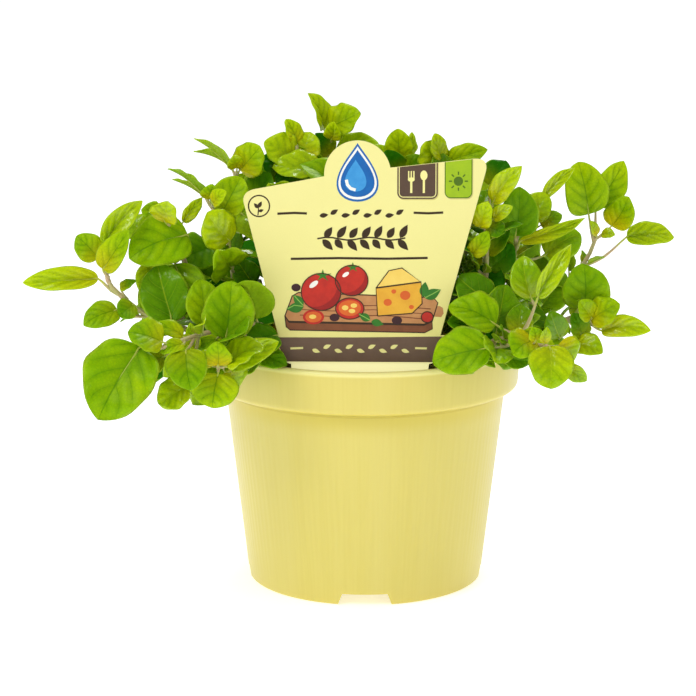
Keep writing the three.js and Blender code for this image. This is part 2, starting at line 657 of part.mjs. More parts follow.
function grownShoot(root, number) {
  const out = Math.hypot(...root) / ROOT_SPREAD;
  const turn = Math.atan2(root[1], root[0]) + (draw(number * ROOT_STEP + 1) - 0.5) * STEM_TURN;
  const depth = Math.sin(turn) > 0 ? GROWN_BACK_REACH : GROWN_FRONT_REACH;
  const span = (0.3 + 0.7 * out) * (0.86 + 0.14 * draw(number * ROOT_STEP + 2));
  const reach = vector(Math.cos(turn) * GROWN_SIDE_REACH * span, Math.sin(turn) * depth * span, 0);
  const fall = out ** 1.5 * (GROWN_HEIGHT - GROWN_EDGE_HEIGHT);
  const height = GROWN_HEIGHT - fall - STEM_DROOP * draw(number * ROOT_STEP + 3) * (0.4 + 0.6 * out);
  const bend = vector(...root, 0).lerp(reach, 0.5).setZ(SOIL_LEVEL + 0.62 * (height - SOIL_LEVEL));
  const shoulder = vector(...root, 0).lerp(reach, 0.82).setZ(SOIL_LEVEL + 0.92 * (height - SOIL_LEVEL));
  return {
    name: `shoot_${String(number + 1).padStart(2, '0')}`,
    root,
    stem: [bend.toArray(), shoulder.toArray(), [reach.x, reach.y, height]],
    grown: number,
  };
}

// Opposite pairs, each pair a quarter turn on from the one below, smaller towards the tip.
function pairedLeaves(path, seed, places, lengths) {
  const leaves = [];
  const outward = vector(path.at(-1).x, path.at(-1).y, 0).normalize();
  const face = outward.clone().multiplyScalar(0.7).add(vector(0, 0, 0.75)).normalize();
  for (let pair = 0; pair < places.length; pair += 1) {
    const { point, direction } = alongStem(path, places[pair]);
    const flat = vector(0, 0, 0).crossVectors(direction, FLAT_WAY).normalize();
    const turn = (pair % 2) * (Math.PI / 2) + (draw(seed + pair) - 0.5) * PAIR_TURN;
    flat.applyAxisAngle(direction, turn);
    for (let half = 0; half < 2; half += 1) {
      const pick = seed + 10 + pair * 8 + half * 4;
      const length = lengths[pair] * (0.78 + 0.36 * draw(pick));
      const lift = 0.35 + 0.15 * pair + 0.3 * draw(pick + 1);
      const way = flat.clone().multiplyScalar(half ? -1 : 1).addScaledVector(direction, lift);
      way.setZ(way.z + LEAF_SAG).normalize();
      const petiole = 3 + 4 * draw(pick + 2);
      leaves.push({
        root: point, base: point.clone().addScaledVector(way, petiole),
        tip: point.clone().addScaledVector(way, petiole + length),
        width: length * (0.7 + 0.12 * draw(pick + 3)), roll: 0, fold: GROWN_FOLD, face,
      });
    }
  }
  return leaves;
}

// The two young leaves that stand up at the very tip.
function tipLeaves(path) {
  const { point, direction } = alongStem(path, 1);
  return [-TIP_LEAF.spread, TIP_LEAF.spread].map((spread) => {
    const flat = vector(0, 0, 0).crossVectors(direction, FLAT_WAY).normalize();
    const way = flat.multiplyScalar(spread).add(direction).normalize();
    return {
      root: point,
      base: point.clone().addScaledVector(way, TIP_LEAF.base),
      tip: point.clone().addScaledVector(way, TIP_LEAF.tip),
      width: TIP_LEAF.width, roll: 0, fold: TIP_LEAF.fold,
      face: vector(path.at(-1).x, path.at(-1).y, TIP_LEAF.faceRise).normalize(),
    };
  });
}

function grownLeaves(shoot, path) {
  const seed = GROWN_SEEDS + shoot.grown * SHOOT_STEP;
  return [...pairedLeaves(path, seed, PAIR_PLACES, PAIR_LENGTHS), ...tipLeaves(path)];
}

// Leaves lower on a laid shoot, inside the bush.
function innerLeaves(shoot, path) {
  const places = shoot.inner ?? INNER_PLACES;
  const seed = INNER_SEEDS + LAID_SHOOTS.indexOf(shoot) * SHOOT_STEP;
  return pairedLeaves(path, seed, places, places.map(() => INNER_LENGTH));
}

function laidLeaves(shoot, path) {
  return shoot.leaves.map(([at, bx, by, bz, tx, ty, tz, width, roll, fold]) => ({
    root: alongStem(path, at).point, base: vector(bx, by, bz), tip: vector(tx, ty, tz),
    width: width * LEAF_SPREAD, roll, fold, face: FRONT_FACE, laid: true,
  }));
}

// ---------------------------------------------------------------- bending clear

const STEM_BOWS = [0, 3, -3, 6, -6, 9, -9];
const DEPTH_SHIFTS = [0, -2, 2, -4, 4, -6, 6, -9, 9, -12, 12];
const LAID_SCALES = [1, 0.85, 0.7];
const SWINGS = [[0, 0], [14, 0], [-14, 0], [0, 14], [0, -14], [26, 8], [-26, 8], [24, -16], [-24, -16]];
const GROWN_SCALES = [1, 0.82, 0.66];

// The places a leaf may take, best first: slid in depth if laid, swung about its root if grown.
function leafPlaces(leaf) {
  const places = [];
  if (leaf.laid) {
    for (const scale of LAID_SCALES) {
      for (const shift of DEPTH_SHIFTS) {
        const base = leaf.base.clone().add(vector(0, shift, 0));
        const tip = leaf.tip.clone().add(vector(0, shift, 0));
        places.push({ ...leaf, base, tip: base.clone().lerp(tip, scale), width: leaf.width * scale });
      }
    }
    return places;
  }
  for (const scale of GROWN_SCALES) {
    for (const [swing, lift] of SWINGS) {
      const { normal, side } = leafAxes(leaf);
      const move = (point) => point.clone().sub(leaf.root).multiplyScalar(scale)
        .applyAxisAngle(normal, radians(swing)).applyAxisAngle(side, radians(lift)).add(leaf.root);
      places.push({ ...leaf, base: move(leaf.base), tip: move(leaf.tip), width: leaf.width * scale });
    }
  }
  return places;
}

const crosses = (solid, box, pieces) => pieces.some((piece) => (
  piece.box.intersectsBox(box) && solid.intersect(piece.solid).getMesh().triVerts.length > 0));

function placeShoots(fixed) {
  const shoots = [...LAID_SHOOTS, ...grownRoots().map(grownShoot)];
  const nodes = [];
  const others = (node) => [...fixed, ...nodes.filter((n) => n !== node).flatMap((n) => n.pieces)];
  for (const shoot of shoots) {
    for (const bow of STEM_BOWS) {
      const path = stemPath(shoot, bow);
      const padded = stemGeometry(path, TOUCH_GAP);
      if (!crosses(toSolid(padded), boxOf(padded), others(null))) {
        const geometry = stemGeometry(path, 0);
        const stem = { solid: toSolid(geometry), box: boxOf(geometry) };
        nodes.push({ shoot, path, pieces: [stem], blades: [] });
        break;
      }
    }
  }
  const laid = nodes.filter((node) => node.shoot.leaves);
  const grown = nodes.filter((node) => !node.shoot.leaves);
  const rounds = [[laid, laidLeaves], [laid, innerLeaves], [grown, grownLeaves]];
  const tasks = rounds.flatMap(([some, rule]) => some.map((node) => [node, rule(node.shoot, node.path)]));
  for (const [node, wanted] of tasks) {
    for (const leaf of wanted) {
      const clear = leafPlaces(leaf).filter((place) => {
        const padded = leafGeometry(place, TOUCH_GAP);
        return !crosses(toSolid(padded), boxOf(padded), others(node));
      });
      const apart = clear.find((place) => {
        const blade = leafGeometry(place, 0, true);
        return !crosses(toSolid(blade), boxOf(blade), node.blades);
      });
      const place = apart ?? clear[0];
      if (place) {
        const geometry = leafGeometry(place, 0);
        const blade = leafGeometry(place, 0, true);
        node.pieces.push({ solid: toSolid(geometry), box: boxOf(geometry) });
        node.blades.push({ solid: toSolid(blade), box: boxOf(blade) });
      }
    }
  }
  return nodes;
}

// ---------------------------------------------------------------- assembly

const pot = makePot();
const labelGeometry = makeLabel();
const label = toSolid(labelGeometry);
const potBox = new THREE.Box3(
  vector(-RIM_RADIUS, -RIM_RADIUS, 0), vector(RIM_RADIUS, RIM_RADIUS, POT_HEIGHT),
);
const nodes = placeShoots([
  { solid: pot, box: potBox },
  { solid: label, box: boxOf(labelGeometry) },
]);
const soil = makeSoil(nodes.map((node) => stemHole(node.shoot)));

const plant = new THREE.Group();
nodes.forEach((node, i) => {
  const [stem, ...leaves] = node.pieces.map((piece) => piece.solid);
  const fused = leaves.reduce((whole, leaf) => whole.add(leaf), stem);
  const colour = LEAF_COLOURS[i % LEAF_COLOURS.length];
  plant.add(toMesh(node.shoot.name, fused, colour, ROUGHNESS.leaf));
});

const group = new THREE.Group();
group.add(toMesh('pot', pot, POT_COLOUR, ROUGHNESS.pot));
group.add(toMesh('soil', soil, SOIL_COLOUR, ROUGHNESS.soil));
group.add(toMesh('label', label, LABEL_COLOUR, ROUGHNESS.label));
group.add(plant);

export default group;
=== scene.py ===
"""Oregano plant in a round plastic pot with a plant label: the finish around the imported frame."""

import math

import bmesh
import bpy
from bpy.props import FloatProperty, FloatVectorProperty, PointerProperty
from mathutils import Matrix, Vector
from mathutils.kdtree import KDTree


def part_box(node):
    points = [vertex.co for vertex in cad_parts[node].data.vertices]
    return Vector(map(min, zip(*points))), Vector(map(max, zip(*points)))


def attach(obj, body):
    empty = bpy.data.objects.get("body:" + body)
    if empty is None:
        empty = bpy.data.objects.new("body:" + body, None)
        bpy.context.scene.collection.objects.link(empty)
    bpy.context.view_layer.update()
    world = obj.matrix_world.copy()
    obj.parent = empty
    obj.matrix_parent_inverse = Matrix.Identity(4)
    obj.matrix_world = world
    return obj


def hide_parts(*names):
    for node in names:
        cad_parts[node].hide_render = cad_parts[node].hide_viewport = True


bl_info = {
    "name": "Potted oregano",
    "version": (1, 0, 0),
    "blender": (4, 5, 0),
    "location": "3D View > Sidebar > Oregano",
    "description": "Leaves, stems, pot, soil and label of a potted oregano plant",
    "category": "Object",
}

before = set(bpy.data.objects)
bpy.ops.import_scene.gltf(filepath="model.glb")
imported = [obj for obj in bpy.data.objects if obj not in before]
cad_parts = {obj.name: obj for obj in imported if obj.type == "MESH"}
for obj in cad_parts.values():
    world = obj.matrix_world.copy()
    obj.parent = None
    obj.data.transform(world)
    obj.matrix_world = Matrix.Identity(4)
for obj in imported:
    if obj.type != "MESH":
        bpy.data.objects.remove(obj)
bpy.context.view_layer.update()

MM = 0.001
BODY = "root"


def box_of(node):
    """Lowest and highest corner of a node, in millimetres."""
    low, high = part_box(node)
    return Vector(low) / MM, Vector(high) / MM


# Sizes that the frame gives, in millimetres
RIM_RADIUS = box_of("pot")[1].x
POT_HEIGHT = box_of("pot")[1].z
LABEL_TOP = box_of("label")[1].z

# The pot's wall, as the solid has it
FOOT_RADIUS = 45.3
COLLAR_FOOT = 74.7
NECK_RADIUS = 54.0
WALL = 1.2
LIP_WIDTH = 3.5
FLOOR_LIFT = 4.5
FLOOR_TOP = 6.0
FOOT_RING_INNER = 36.0
NOTCH_TOP_WIDTH = 17.0
NOTCH_FOOT_WIDTH = 21.0
NOTCH_DEPTH = 14.0
NOTCH_COUNT = 4
DRAIN_RADIUS = 3.5
DRAIN_RING = 24.0
DRAIN_COUNT = 6

# The label card, in its own plane: x to the right, y up from the rim's level
LABEL_LEAN = math.radians(7)
LABEL_FOOT = Vector((0, -42, 92))
CARD_UP = Vector((0, math.sin(LABEL_LEAN), math.cos(LABEL_LEAN)))
CARD_OUT = Vector((0, -math.cos(LABEL_LEAN), math.sin(LABEL_LEAN)))
LABEL_THICK = 0.8
INK_LIFT = 0.03
LOBE_X = -2.9
LOBE_Y = 69.5
LOBE_RADIUS = 12.2

# The growing rule's sizes, as the solids have them
SOIL_LEVEL = 80.0
STEM_SEAT = 68.0
STEM_STRAIGHT = 3.0
LAST_JOINT = 1.2
STEM_RADIUS = 1.7
STEM_TIP_RADIUS = 1.0
STEM_SQUARE_WAY = Vector((0.35, 0.94, 0))
BIG_LEAF = 21.0
SMALL_LEAF = 7.0
LEAF_ARCH = 0.06
FLAT_FOLD = 13.0
LEAF_SPREAD = 1.14
END_ON = 0.92
SKY_FACE = Vector((0, 0.3, 1))
FRONT_FACE = Vector((0, -0.8, 0.6))
SEED = 4.7
WAVE_STEP = 12.9898
WAVE_HEIGHT = 43758.5453
SPIRAL_COUNT = 30
GROWN_SIDE_REACH = 76.0
GROWN_BACK_REACH = 86.0
GROWN_FRONT_REACH = 46.0
GROWN_HEIGHT = 162.0
GROWN_EDGE_HEIGHT = 118.0
ROOT_SPREAD = 47.0
ROOT_SPACING = 8.0
LABEL_ROOM = -34.0
GOLDEN_ANGLE = math.pi * (3 - math.sqrt(5))
STEM_TURN = 0.5
STEM_DROOP = 26.0
STEM_BENDS = ((0.5, 0.62), (0.82, 0.92))
EDGE_FALL = 1.5
PAIR_TURN = 0.7
FLAT_WAY = Vector((0.2, 0.3, 1))
LEAF_SAG = -0.15
GROWN_FOLD = 9.0
GROWN_SEEDS = 1000
INNER_SEEDS = 5000
SHOOT_STEP = 61
ROOT_STEP = 31
PAIR_LENGTHS = (29, 28, 22)
PAIR_PLACES = (0.48, 0.72, 0.94)
INNER_PLACES = (0.42, 0.64)
INNER_LENGTH = 23.0
TIP_SPREAD = 0.6
TIP_BASE = 1.2
TIP_END = 10.0
TIP_WIDTH = 6.5
TIP_FOLD = 18.0
TIP_FACE_RISE = 60.0

# Ranges of the growing rule: the least, and how much is added at the bush's edge or by a full draw
REACH_BY_PLACE = (0.3, 0.7)
REACH_BY_DRAW = (0.86, 0.14)
DROOP_BY_PLACE = (0.4, 0.6)
LENGTH_BY_DRAW = (0.78, 0.36)
WIDTH_BY_DRAW = (0.7, 0.12)
PETIOLE_BY_DRAW = (3, 4)
LIFT_BY_PAIR = (0.35, 0.15)
LIFT_BY_DRAW = 0.3
PAIR_FACE_OUT = 0.7
PAIR_FACE_UP = Vector((0, 0, 0.75))
FIRST_PICK = 10
PICKS_A_PAIR = 8
PICKS_A_LEAF = 4

# How far the solids' leaves and stems may have been bent clear of each other
STEM_BOWS = (0, 3, -3, 6, -6, 9, -9)
DEPTH_SHIFTS = (0, -2, 2, -4, 4, -6, 6, -9, 9, -12, 12)
LAID_SCALES = (1, 0.85, 0.7)
SWINGS = ((0, 0), (14, 0), (-14, 0), (0, 14), (0, -14), (26, 8), (-26, 8), (24, -16), (-24, -16))
GROWN_SCALES = (1, 0.82, 0.66)

# Half-width of a solid blade, as a share of the widest place, along its length
BIG_OUTLINE = ((0, 0.12), (0.18, 0.8), (0.45, 1), (0.78, 0.72), (1, 0))
OUTLINE = ((0, 0.14), (0.3, 1), (0.72, 0.8), (1, 0))
SMALL_OUTLINE = ((0, 0.3), (0.42, 1), (1, 0))
ENDS = ("base", "tip")

# The stems that are laid one by one: where each stands in the soil, the places of its small inner pairs, its
# bends and its leaves. A leaf row: share of the stem where the petiole leaves it, the blade's base x y z
# and tip x y z, its full width, the roll of its face in degrees, and half the fold at its midrib
LAID_SHOOTS = {
    "shoot_far_left": {
        "root": (-30, -20), "inner": (0.22, 0.4),
        "stem": [(-59, -36, 101), (-79, -44, 110), (-92, -46, 121), (-94, -46, 127)],
        "leaves": [
            (0.86, -97, -46, 122, -125, -44, 121, 14, 10, 48),
            (0.97, -95, -48, 128, -85, -52, 143, 10, 10, 14),
            (0.95, -97, -44, 130, -105, -42, 138, 11, -10, 12),
            (1, -95, -43, 136, -81, -40, 152, 11, 20, 28),
            (0.72, -90, -48, 113, -102, -52, 108, 10, 0, 8),
            (0.66, -84, -48, 115, -89, -50, 111, 8, 0, 5),
            (0.84, -89, -47, 121, -83, -48, 124, 4, 0, 5),
        ],
    },
    "shoot_lower_left": {
        "root": (-36, -28), "inner": (0.3, 0.5),
        "stem": [(-45, -41, 104), (-58, -62, 107), (-71, -77, 105)],
        "leaves": [
            (1, -78, -78, 104, -94, -88, 80, 26, 0, 7),
            (0.93, -71, -77, 107, -83, -79, 111, 13, 10, 10),
            (0.9, -71, -73, 101, -82, -71, 96, 11, 0, 8),
            (0.75, -63, -74, 91, -73, -75, 84, 11, 0, 10),
            (0.78, -63, -76, 104, -61, -82, 91, 13.5, 0, 6),
            (0.85, -64, -75, 106, -72, -77, 103, 5, 0, 8),
        ],
    },
    "shoot_front_left": {
        "root": (-24, -33), "inner": INNER_PLACES,
        "stem": [(-47, -55, 101), (-51, -66, 98), (-52, -73, 97)],
        "leaves": [
            (0.97, -52, -74, 98, -52, -77, 107, 9, 0, 10),
            (1, -49, -74, 98, -36, -72, 105, 12, -15, 12),
            (0.9, -49, -71, 95, -31, -65, 103, 11, 30, 30),
            (1, -52, -74, 95, -54, -76, 83, 17, 0, 6),
            (0.86, -50, -70, 94, -45, -68, 88, 12, 0, 8),
            (0.9, -54, -71, 97, -57, -70, 103, 7, 0, 12),
        ],
    },
    "shoot_round_leaf": {
        "root": (-24, -24), "inner": INNER_PLACES,
        "stem": [(-38, -40, 106), (-46, -54, 105), (-49, -57, 103)],
        "leaves": [
            (1, -50, -59, 105, -48, -55, 125, 18, 0, 6),
            (0.7, -58, -49, 108, -60, -45, 124, 12, 10, 10),
            (0.9, -61, -56, 100, -63, -56, 110, 5, 0, 10),
            (0.45, -43, -42, 108, -30, -34, 114, 11, 0, 10),
            (0.5, -46, -44, 100, -32, -35, 103, 12, 0, 8),
        ],
    },
    "shoot_left_middle": {
        "root": (-38, -8), "inner": INNER_PLACES,
        "stem": [(-56, -30, 107), (-66, -33, 127), (-71, -34, 143)],
        "leaves": [
            (0.88, -75, -36, 128, -76, -46, 109, 17, 0, 8),
            (0.84, -70, -36, 128, -66, -42, 109, 16, 0, 8),
            (0.82, -65, -35, 142, -86, -42, 137, 16, -10, 10),
            (0.82, -79, -33, 128, -80, -38, 115, 9, 10, 10),
            (1, -74, -33, 144, -82, -37, 148, 8, 0, 12),
            (1, -73, -35, 144, -71, -39, 152, 10, 0, 14),
            (0.96, -67, -32, 143, -60, -30, 152, 8, 40, 30),
            (0.85, -79, -30, 138, -88, -27, 143, 10, 0, 8),
        ],
    },
    "shoot_upper_left": {
        "root": (-30, 2), "inner": INNER_PLACES,
        "stem": [(-47, -20, 112), (-51, -25, 134), (-57, -28, 150)],
        "leaves": [
            (1, -57, -30, 151, -56, -33, 157, 7, 0, 15),
            (1, -56, -31, 150, -51, -34, 155, 6, 0, 15),
            (0.97, -59, -28, 152, -72, -30, 163, 8, 72, 25),
            (0.95, -60, -26, 152, -72, -22, 157, 7, 72, 25),
            (0.72, -50, -32, 136, -58, -38, 147, 14, 0, 7),
            (0.85, -53, -29, 146, -46, -26, 159, 13, 10, 10),
            (0.5, -57, -27, 132, -68, -34, 128, 15, 0, 8),
        ],
    },
    "shoot_high_left": {
        "root": (-18, 10), "inner": (0.5, 0.7),
        "stem": [(-40, 0, 128), (-45, -8, 148), (-49, -12, 159)],
        "leaves": [
            (0.97, -50, -12, 160, -64, -14, 172, 9, 72, 25),
            (0.95, -51, -10, 161, -65, -6, 166, 8, 72, 25),
            (1, -47, -14, 160, -39, -16, 169, 13, 0, 10),
            (1, -48, -15, 161, -49, -18, 166, 6, 0, 14),
            (0.7, -43, -12, 148, -36, -14, 159, 13, 10, 10),
            (0.6, -47, -10, 143, -38, -24, 135, 14, 0, 8),
        ],
    },
    "shoot_top_left": {
        "root": (-12, -4), "inner": (0.55, 0.75),
        "stem": [(-28, -8, 137), (-26, -6, 159), (-26, -4, 168)],
        "leaves": [
            (1, -26, -3, 169, -30, -3, 178, 7, 20, 14),
            (0.88, -27, -5, 163, -38, -7, 170, 13, 0, 10),
            (0.9, -24, -3, 163, -21, -1, 173, 12, 0, 10),
            (0.75, -17, -8, 160, -35, -10, 161, 12, 10, 12),
        ],
    },
    "shoot_top": {
        "root": (-6, 12), "inner": (0.6, 0.8),
        "stem": [(-11, 10, 130), (-14, 10, 155), (-13, 8, 171)],
        "leaves": [
            (1, -16, 8, 173, -22, 6, 187, 9, 35, 20),
            (1, -14, 7, 174, -2, 3, 180, 13, 0, 14),
            (0.97, -13, 5, 170, -12, 1, 177, 6.5, 0, 12),
            (0.8, -11, 7, 163, 5, 5, 168, 11, 10, 12),
        ],
    },
    "shoot_top_right": {
        "root": (6, 6), "inner": (0.6, 0.8),
        "stem": [(14, 6, 131), (14, 4, 159)],
        "leaves": [
            (1, 13, 3, 162, 12, 1, 174, 10, 0, 12),
            (1, 15, 5, 162, 18, 8, 172, 6, 50, 25),
            (0.92, 10, 4, 159, 3, 4, 168, 7, 10, 14),
            (0.95, 14, 2, 159, 23, -1, 163, 7, 20, 14),
        ],
    },
    "shoot_high_right": {
        "root": (15, 0), "inner": (0.6, 0.8),
        "stem": [(31, -2, 132), (28, -3, 160)],
        "leaves": [
            (1, 27, -3, 161, 23, -5, 170, 12, 0, 10),
            (1, 29, -2, 163, 26, -4, 173, 7, 20, 14),
            (0.95, 31, -3, 162, 46, -7, 169, 10, 10, 14),
        ],
    },
    "shoot_by_label": {
        "root": (25, -12), "inner": INNER_PLACES,
        "stem": [(43, -24, 113), (45, -26, 137), (46, -27, 148)],
        "leaves": [
            (0.97, 46, -20, 155, 52, -16, 164, 11, 0, 8),
            (1, 47, -29, 150, 57, -33, 164, 12, 10, 16),
            (0.9, 42, -31, 141, 45, -35, 151, 10, 0, 12),
            (0.78, 39, -32, 131, 45, -34, 140, 7, 20, 20),
            (0.93, 47, -30, 144, 54, -32, 149, 5, 20, 14),
            (0.88, 45, -31, 141, 51, -35, 139, 8, 0, 8),
        ],
    },
    "shoot_upper_right": {
        "root": (31, 2), "inner": INNER_PLACES,
        "stem": [(54, -10, 110), (56, -14, 130), (58, -15, 139)],
        "leaves": [
            (0.9, 56, -19, 136, 57, -23, 155, 14, 0, 8),
            (1, 62, -13, 141, 68, -10, 151, 10, 20, 14),
            (1, 67, -9, 149, 79, -6, 160, 8, 20, 16),
            (0.95, 66, -12, 139, 74, -11, 143, 6, 10, 14),
            (0.85, 58, -18, 134, 83, -14, 142, 9, 50, 20),
            (0.8, 68, -14, 128, 81, -12, 136, 14, 0, 8),
        ],
    },
    "shoot_far_right": {
        "root": (36, 14), "inner": (0.3, 0.45),
        "stem": [(56, 12, 102), (73, 14, 106), (86, 22, 119), (91, 26, 129)],
        "leaves": [
            (0.97, 89, 25, 138, 84, 22, 159, 17, 0, 7),
            (1, 93, 30, 141, 102, 34, 158, 11, 30, 20),
            (1, 97, 27, 133, 103, 24, 145, 11, 0, 9),
            (0.82, 104, 35, 127, 124, 42, 126, 9.5, 10, 14),
            (1, 91, 24, 130, 88, 21, 136, 4, 0, 12),
            (1, 93, 26, 130, 98, 23, 130, 4, 20, 12),
        ],
    },
    "shoot_right_middle": {
        "root": (40, -4), "inner": (0.35, 0.55),
        "stem": [(57, -6, 101), (73, -10, 102), (83, -15, 103), (86, -17, 103)],
        "leaves": [
            (0.75, 83, -13, 108, 82, -17, 125, 17, 0, 10),
            (1, 85, -18, 104, 95, -21, 111, 11, 0, 10),
            (0.97, 89, -19, 100, 107, -23, 101, 10, 15, 22),
            (0.85, 82, -18, 97, 78, -20, 107, 8, 10, 12),
            (0.9, 79, -20, 95, 89, -25, 93, 9, 0, 10),
            (1, 85, -19, 105, 80, -22, 112, 8, 0, 12),
        ],
    },
    "shoot_lower_right": {
        "root": (22, -34), "inner": (0.35, 0.55),
        "stem": [(48, -51, 103), (59, -65, 104), (64, -73, 105)],
        "leaves": [
            (1, 65, -73, 105, 65, -79, 91, 14.5, 0, 6),
            (0.9, 71, -68, 97, 79, -67, 91, 6, 40, 20),
            (0.82, 60, -70, 106, 52, -76, 102, 12, 0, 8),
            (0.85, 60, -73, 107, 59, -74, 112, 5, 0, 12),
            (0.72, 44, -64, 101, 24, -62, 94, 18, 0, 6),
            (0.6, 50, -58, 98, 60, -57, 96, 6, 30, 14),
            (0.95, 63, -73, 106, 64, -74, 112, 4, 20, 14),
            (1, 68, -72, 105, 74, -70, 99, 11, 0, 8),
        ],
    },
    "shoot_right_inner": {
        "root": (36, -20), "inner": INNER_PLACES,
        "stem": [(48, -36, 102), (55, -46, 103), (58, -52, 107)],
        "leaves": [
            (0.9, 47, -54, 109, 30, -50, 115, 14, 0, 8),
            (1, 62, -54, 119, 74, -52, 138, 12, 30, 32),
            (0.95, 60, -50, 118, 57, -47, 133, 14, 0, 8),
            (0.5, 46, -38, 115, 34, -35, 123, 13, 0, 8),
            (0.8, 56, -49, 104, 57, -45, 115, 9, 0, 8),
        ],
    },
}


# What the finer leaves change in the solid's, by shoot and leaf: shifts of root, base and tip, factors on
# the width and the reach, a new fold, roll, youth, light, chance or sharpness, or base and tip exchanged
LEAF_CHANGES = {
    "shoot_far_left": {
        0: dict(base=(0, 0, 2.2), tip=(0, 0, 1.5), fold=30, roll=-12, width=0.66, youth=0.45, light=1.25,
                chance=0.6, sharp=0.5),
        1: dict(youth=0.7, light=0.8, fold=24),
        2: dict(base=(0, 0, 1.5), tip=(0, 0, 1.5), width=0.85, light=0.65, chance=0.4),
        3: dict(width=0.84, fold=32, light=0.8, chance=0.85), 4: dict(light=0.8),
    },
    "shoot_lower_left": {
        0: dict(base=(-0.8, 0, 1.5), tip=(1, 0, 1.5), width=0.9, light=0.62, chance=0.42),
        1: dict(light=0.6, chance=0.4), 2: dict(light=0.4), 4: dict(light=0.6), 7: dict(reach=0.7),
    },
    "shoot_front_left": {
        0: dict(youth=1, light=0.9), 1: dict(light=0.7, chance=0.9),
        2: dict(base=(0, 0, 1), tip=(0, 0, 1), width=0.84, light=0.75, chance=0.8),
        3: dict(light=0.8, youth=0.35), 4: dict(light=0.5), 7: dict(reach=0.45), 8: dict(reach=0.8),
    },
    "shoot_round_leaf": {
        0: dict(light=0.66, width=0.96, chance=0.38), 4: dict(turned=True), 6: dict(roll=180),
        7: dict(turned=True),
    },
    "shoot_left_middle": {
        0: dict(root=(8, 3, -21), base=(5, -8, -19), tip=(0, 10, 19.5), light=0.25, chance=0.62),
        1: dict(light=0.3), 2: dict(base=(0, 0, -3.5), tip=(0, 0, -6), width=1.15, light=0.9, fold=16),
        4: dict(light=0.85, youth=0.8), 5: dict(light=0.85, youth=0.8),
        6: dict(width=0.7, light=0.9, chance=0.85), 7: dict(light=0.3),
    },
    "shoot_upper_left": {
        2: dict(width=0.95), 3: dict(width=0.95), 4: dict(light=0.85, chance=0.8),
        5: dict(light=0.7, chance=0.4), 9: dict(roll=180),
    },
    "shoot_high_left": {
        0: dict(width=0.9), 1: dict(width=0.9), 2: dict(light=0.8, youth=0.8), 5: dict(light=0.5),
    },
    "shoot_top_left": {6: dict(roll=180)},
    "shoot_top": {0: dict(width=1.25, light=0.9), 1: dict(light=0.8), 6: dict(roll=180, light=0.5)},
    "shoot_high_right": {2: dict(tip=(0, 0, -2), width=0.85), 6: dict(reach=0.75, width=0.8)},
    "shoot_by_label": {
        0: dict(light=0.0, chance=0.35), 1: dict(width=0.72, fold=28, light=1, youth=0.6, chance=0.8),
        2: dict(width=0.75, light=0.95, youth=0.7), 3: dict(light=0.9, youth=0.7),
    },
    "shoot_upper_right": {
        0: dict(light=0.45, chance=0.35), 1: dict(light=0.6), 2: dict(width=0.62, light=1.2, chance=0.9),
        4: dict(width=0.62, light=0.9, youth=0.6), 5: dict(light=0.3),
    },
    "shoot_far_right": {
        0: dict(base=(-1.3, 0, 0), tip=(-1.3, 0, 0), light=0.8, width=0.92, chance=0.42, sharp=0),
        1: dict(base=(-2, 0, 0), width=1.05, fold=9, light=0.8, sharp=0.6), 2: dict(youth=1, light=1.05),
        3: dict(base=(0, 0, 0.5), tip=(0, 0, 1), light=1.2, chance=0.66, sharp=0.1),
    },
    "shoot_right_middle": {
        0: dict(light=0.6, chance=0.34), 1: dict(youth=0.8, light=0.8),
        2: dict(width=0.82, light=0.95, youth=0.6), 3: dict(light=0.3),
    },
    "shoot_lower_right": {
        0: dict(light=0.75), 2: dict(light=0.9, youth=0.9),
        4: dict(base=(0, 0, 1.5), tip=(0, 0, 3), width=0.9, light=0.6), 8: dict(reach=0.3, width=0.5),
        9: dict(base=(0, 0, 2.5), tip=(0, 0, 6), reach=0.6, width=0.8),
    },
    "shoot_right_inner": {
        0: dict(light=0.95), 1: dict(width=0.72, fold=38, light=0.8, chance=0.85),
        2: dict(root=(4, 0, 10), width=0.74, light=0.35), 3: dict(light=0.0), 4: dict(light=0.2),
        7: dict(reach=0.5),
    },
}

# Small leaves that only the finish has, in the gaps between the solid's leaves: rows as in LAID_SHOOTS,
# then how much light the leaf gets
FILLER_LEAVES = {
    "shoot_upper_left": [(0.5, -42, -22, 118, -48, -22, 127, 10, 0, 8, 0.15)],
    "shoot_front_left": [(0.7, -40, -46, 97.5, -28.5, -50, 92.8, 9, 0, 8, 0.35)],
    "shoot_by_label": [
        (0.85, 44, -14, 142, 46, -10, 152, 10, 0, 8, 0.15),
        (0.4, 42, -24, 114, 50, -22, 125, 14, 0, 8, 0.15),
    ],
    "shoot_lower_right": [(0.5, 36, -46, 97.5, 25, -50, 93, 9, 0, 8, 0.3)],
    "shoot_right_middle": [(0.6, 73, -24, 98, 69, -28, 109, 9, 0, 8, 0.15)],
    "shoot_top_left": [
        (0.8, -30, -6, 157, -39, -8, 164, 12, 0, 8, 0.15),
        (0.7, -24, -8, 152, -34, -10, 158, 11, 0, 8, 0.15),
    ],
    "shoot_top": [(0.85, -14, 6, 163, -19, 3, 172, 8, 0, 14, 0.15)],
    "shoot_top_right": [(0.8, 12, 2, 155, 8, 0, 166, 10, 0, 8, 0.15)],
    "shoot_high_right": [(0.9, 30, -2, 155, 27, -5, 166, 9, 0, 8, 0.15)],
    "shoot_left_middle": [
        (0.3, -56, -24, 110, -62, -22, 119, 14, 0, 8, 0.15),
        (0.3, -72, -38, 106, -81, -36, 122, 14, 0, 8, 0.5),
    ],
    "shoot_round_leaf": [(0.6, -48, -34, 104, -43, -34, 112, 12, 0, 8, 0.15)],
    "shoot_right_inner": [(0.6, 57, -34, 106, 49, -32, 115, 14, 0, 8, 0.15)],
}


# ---------------------------------------------------------------- the growing rule


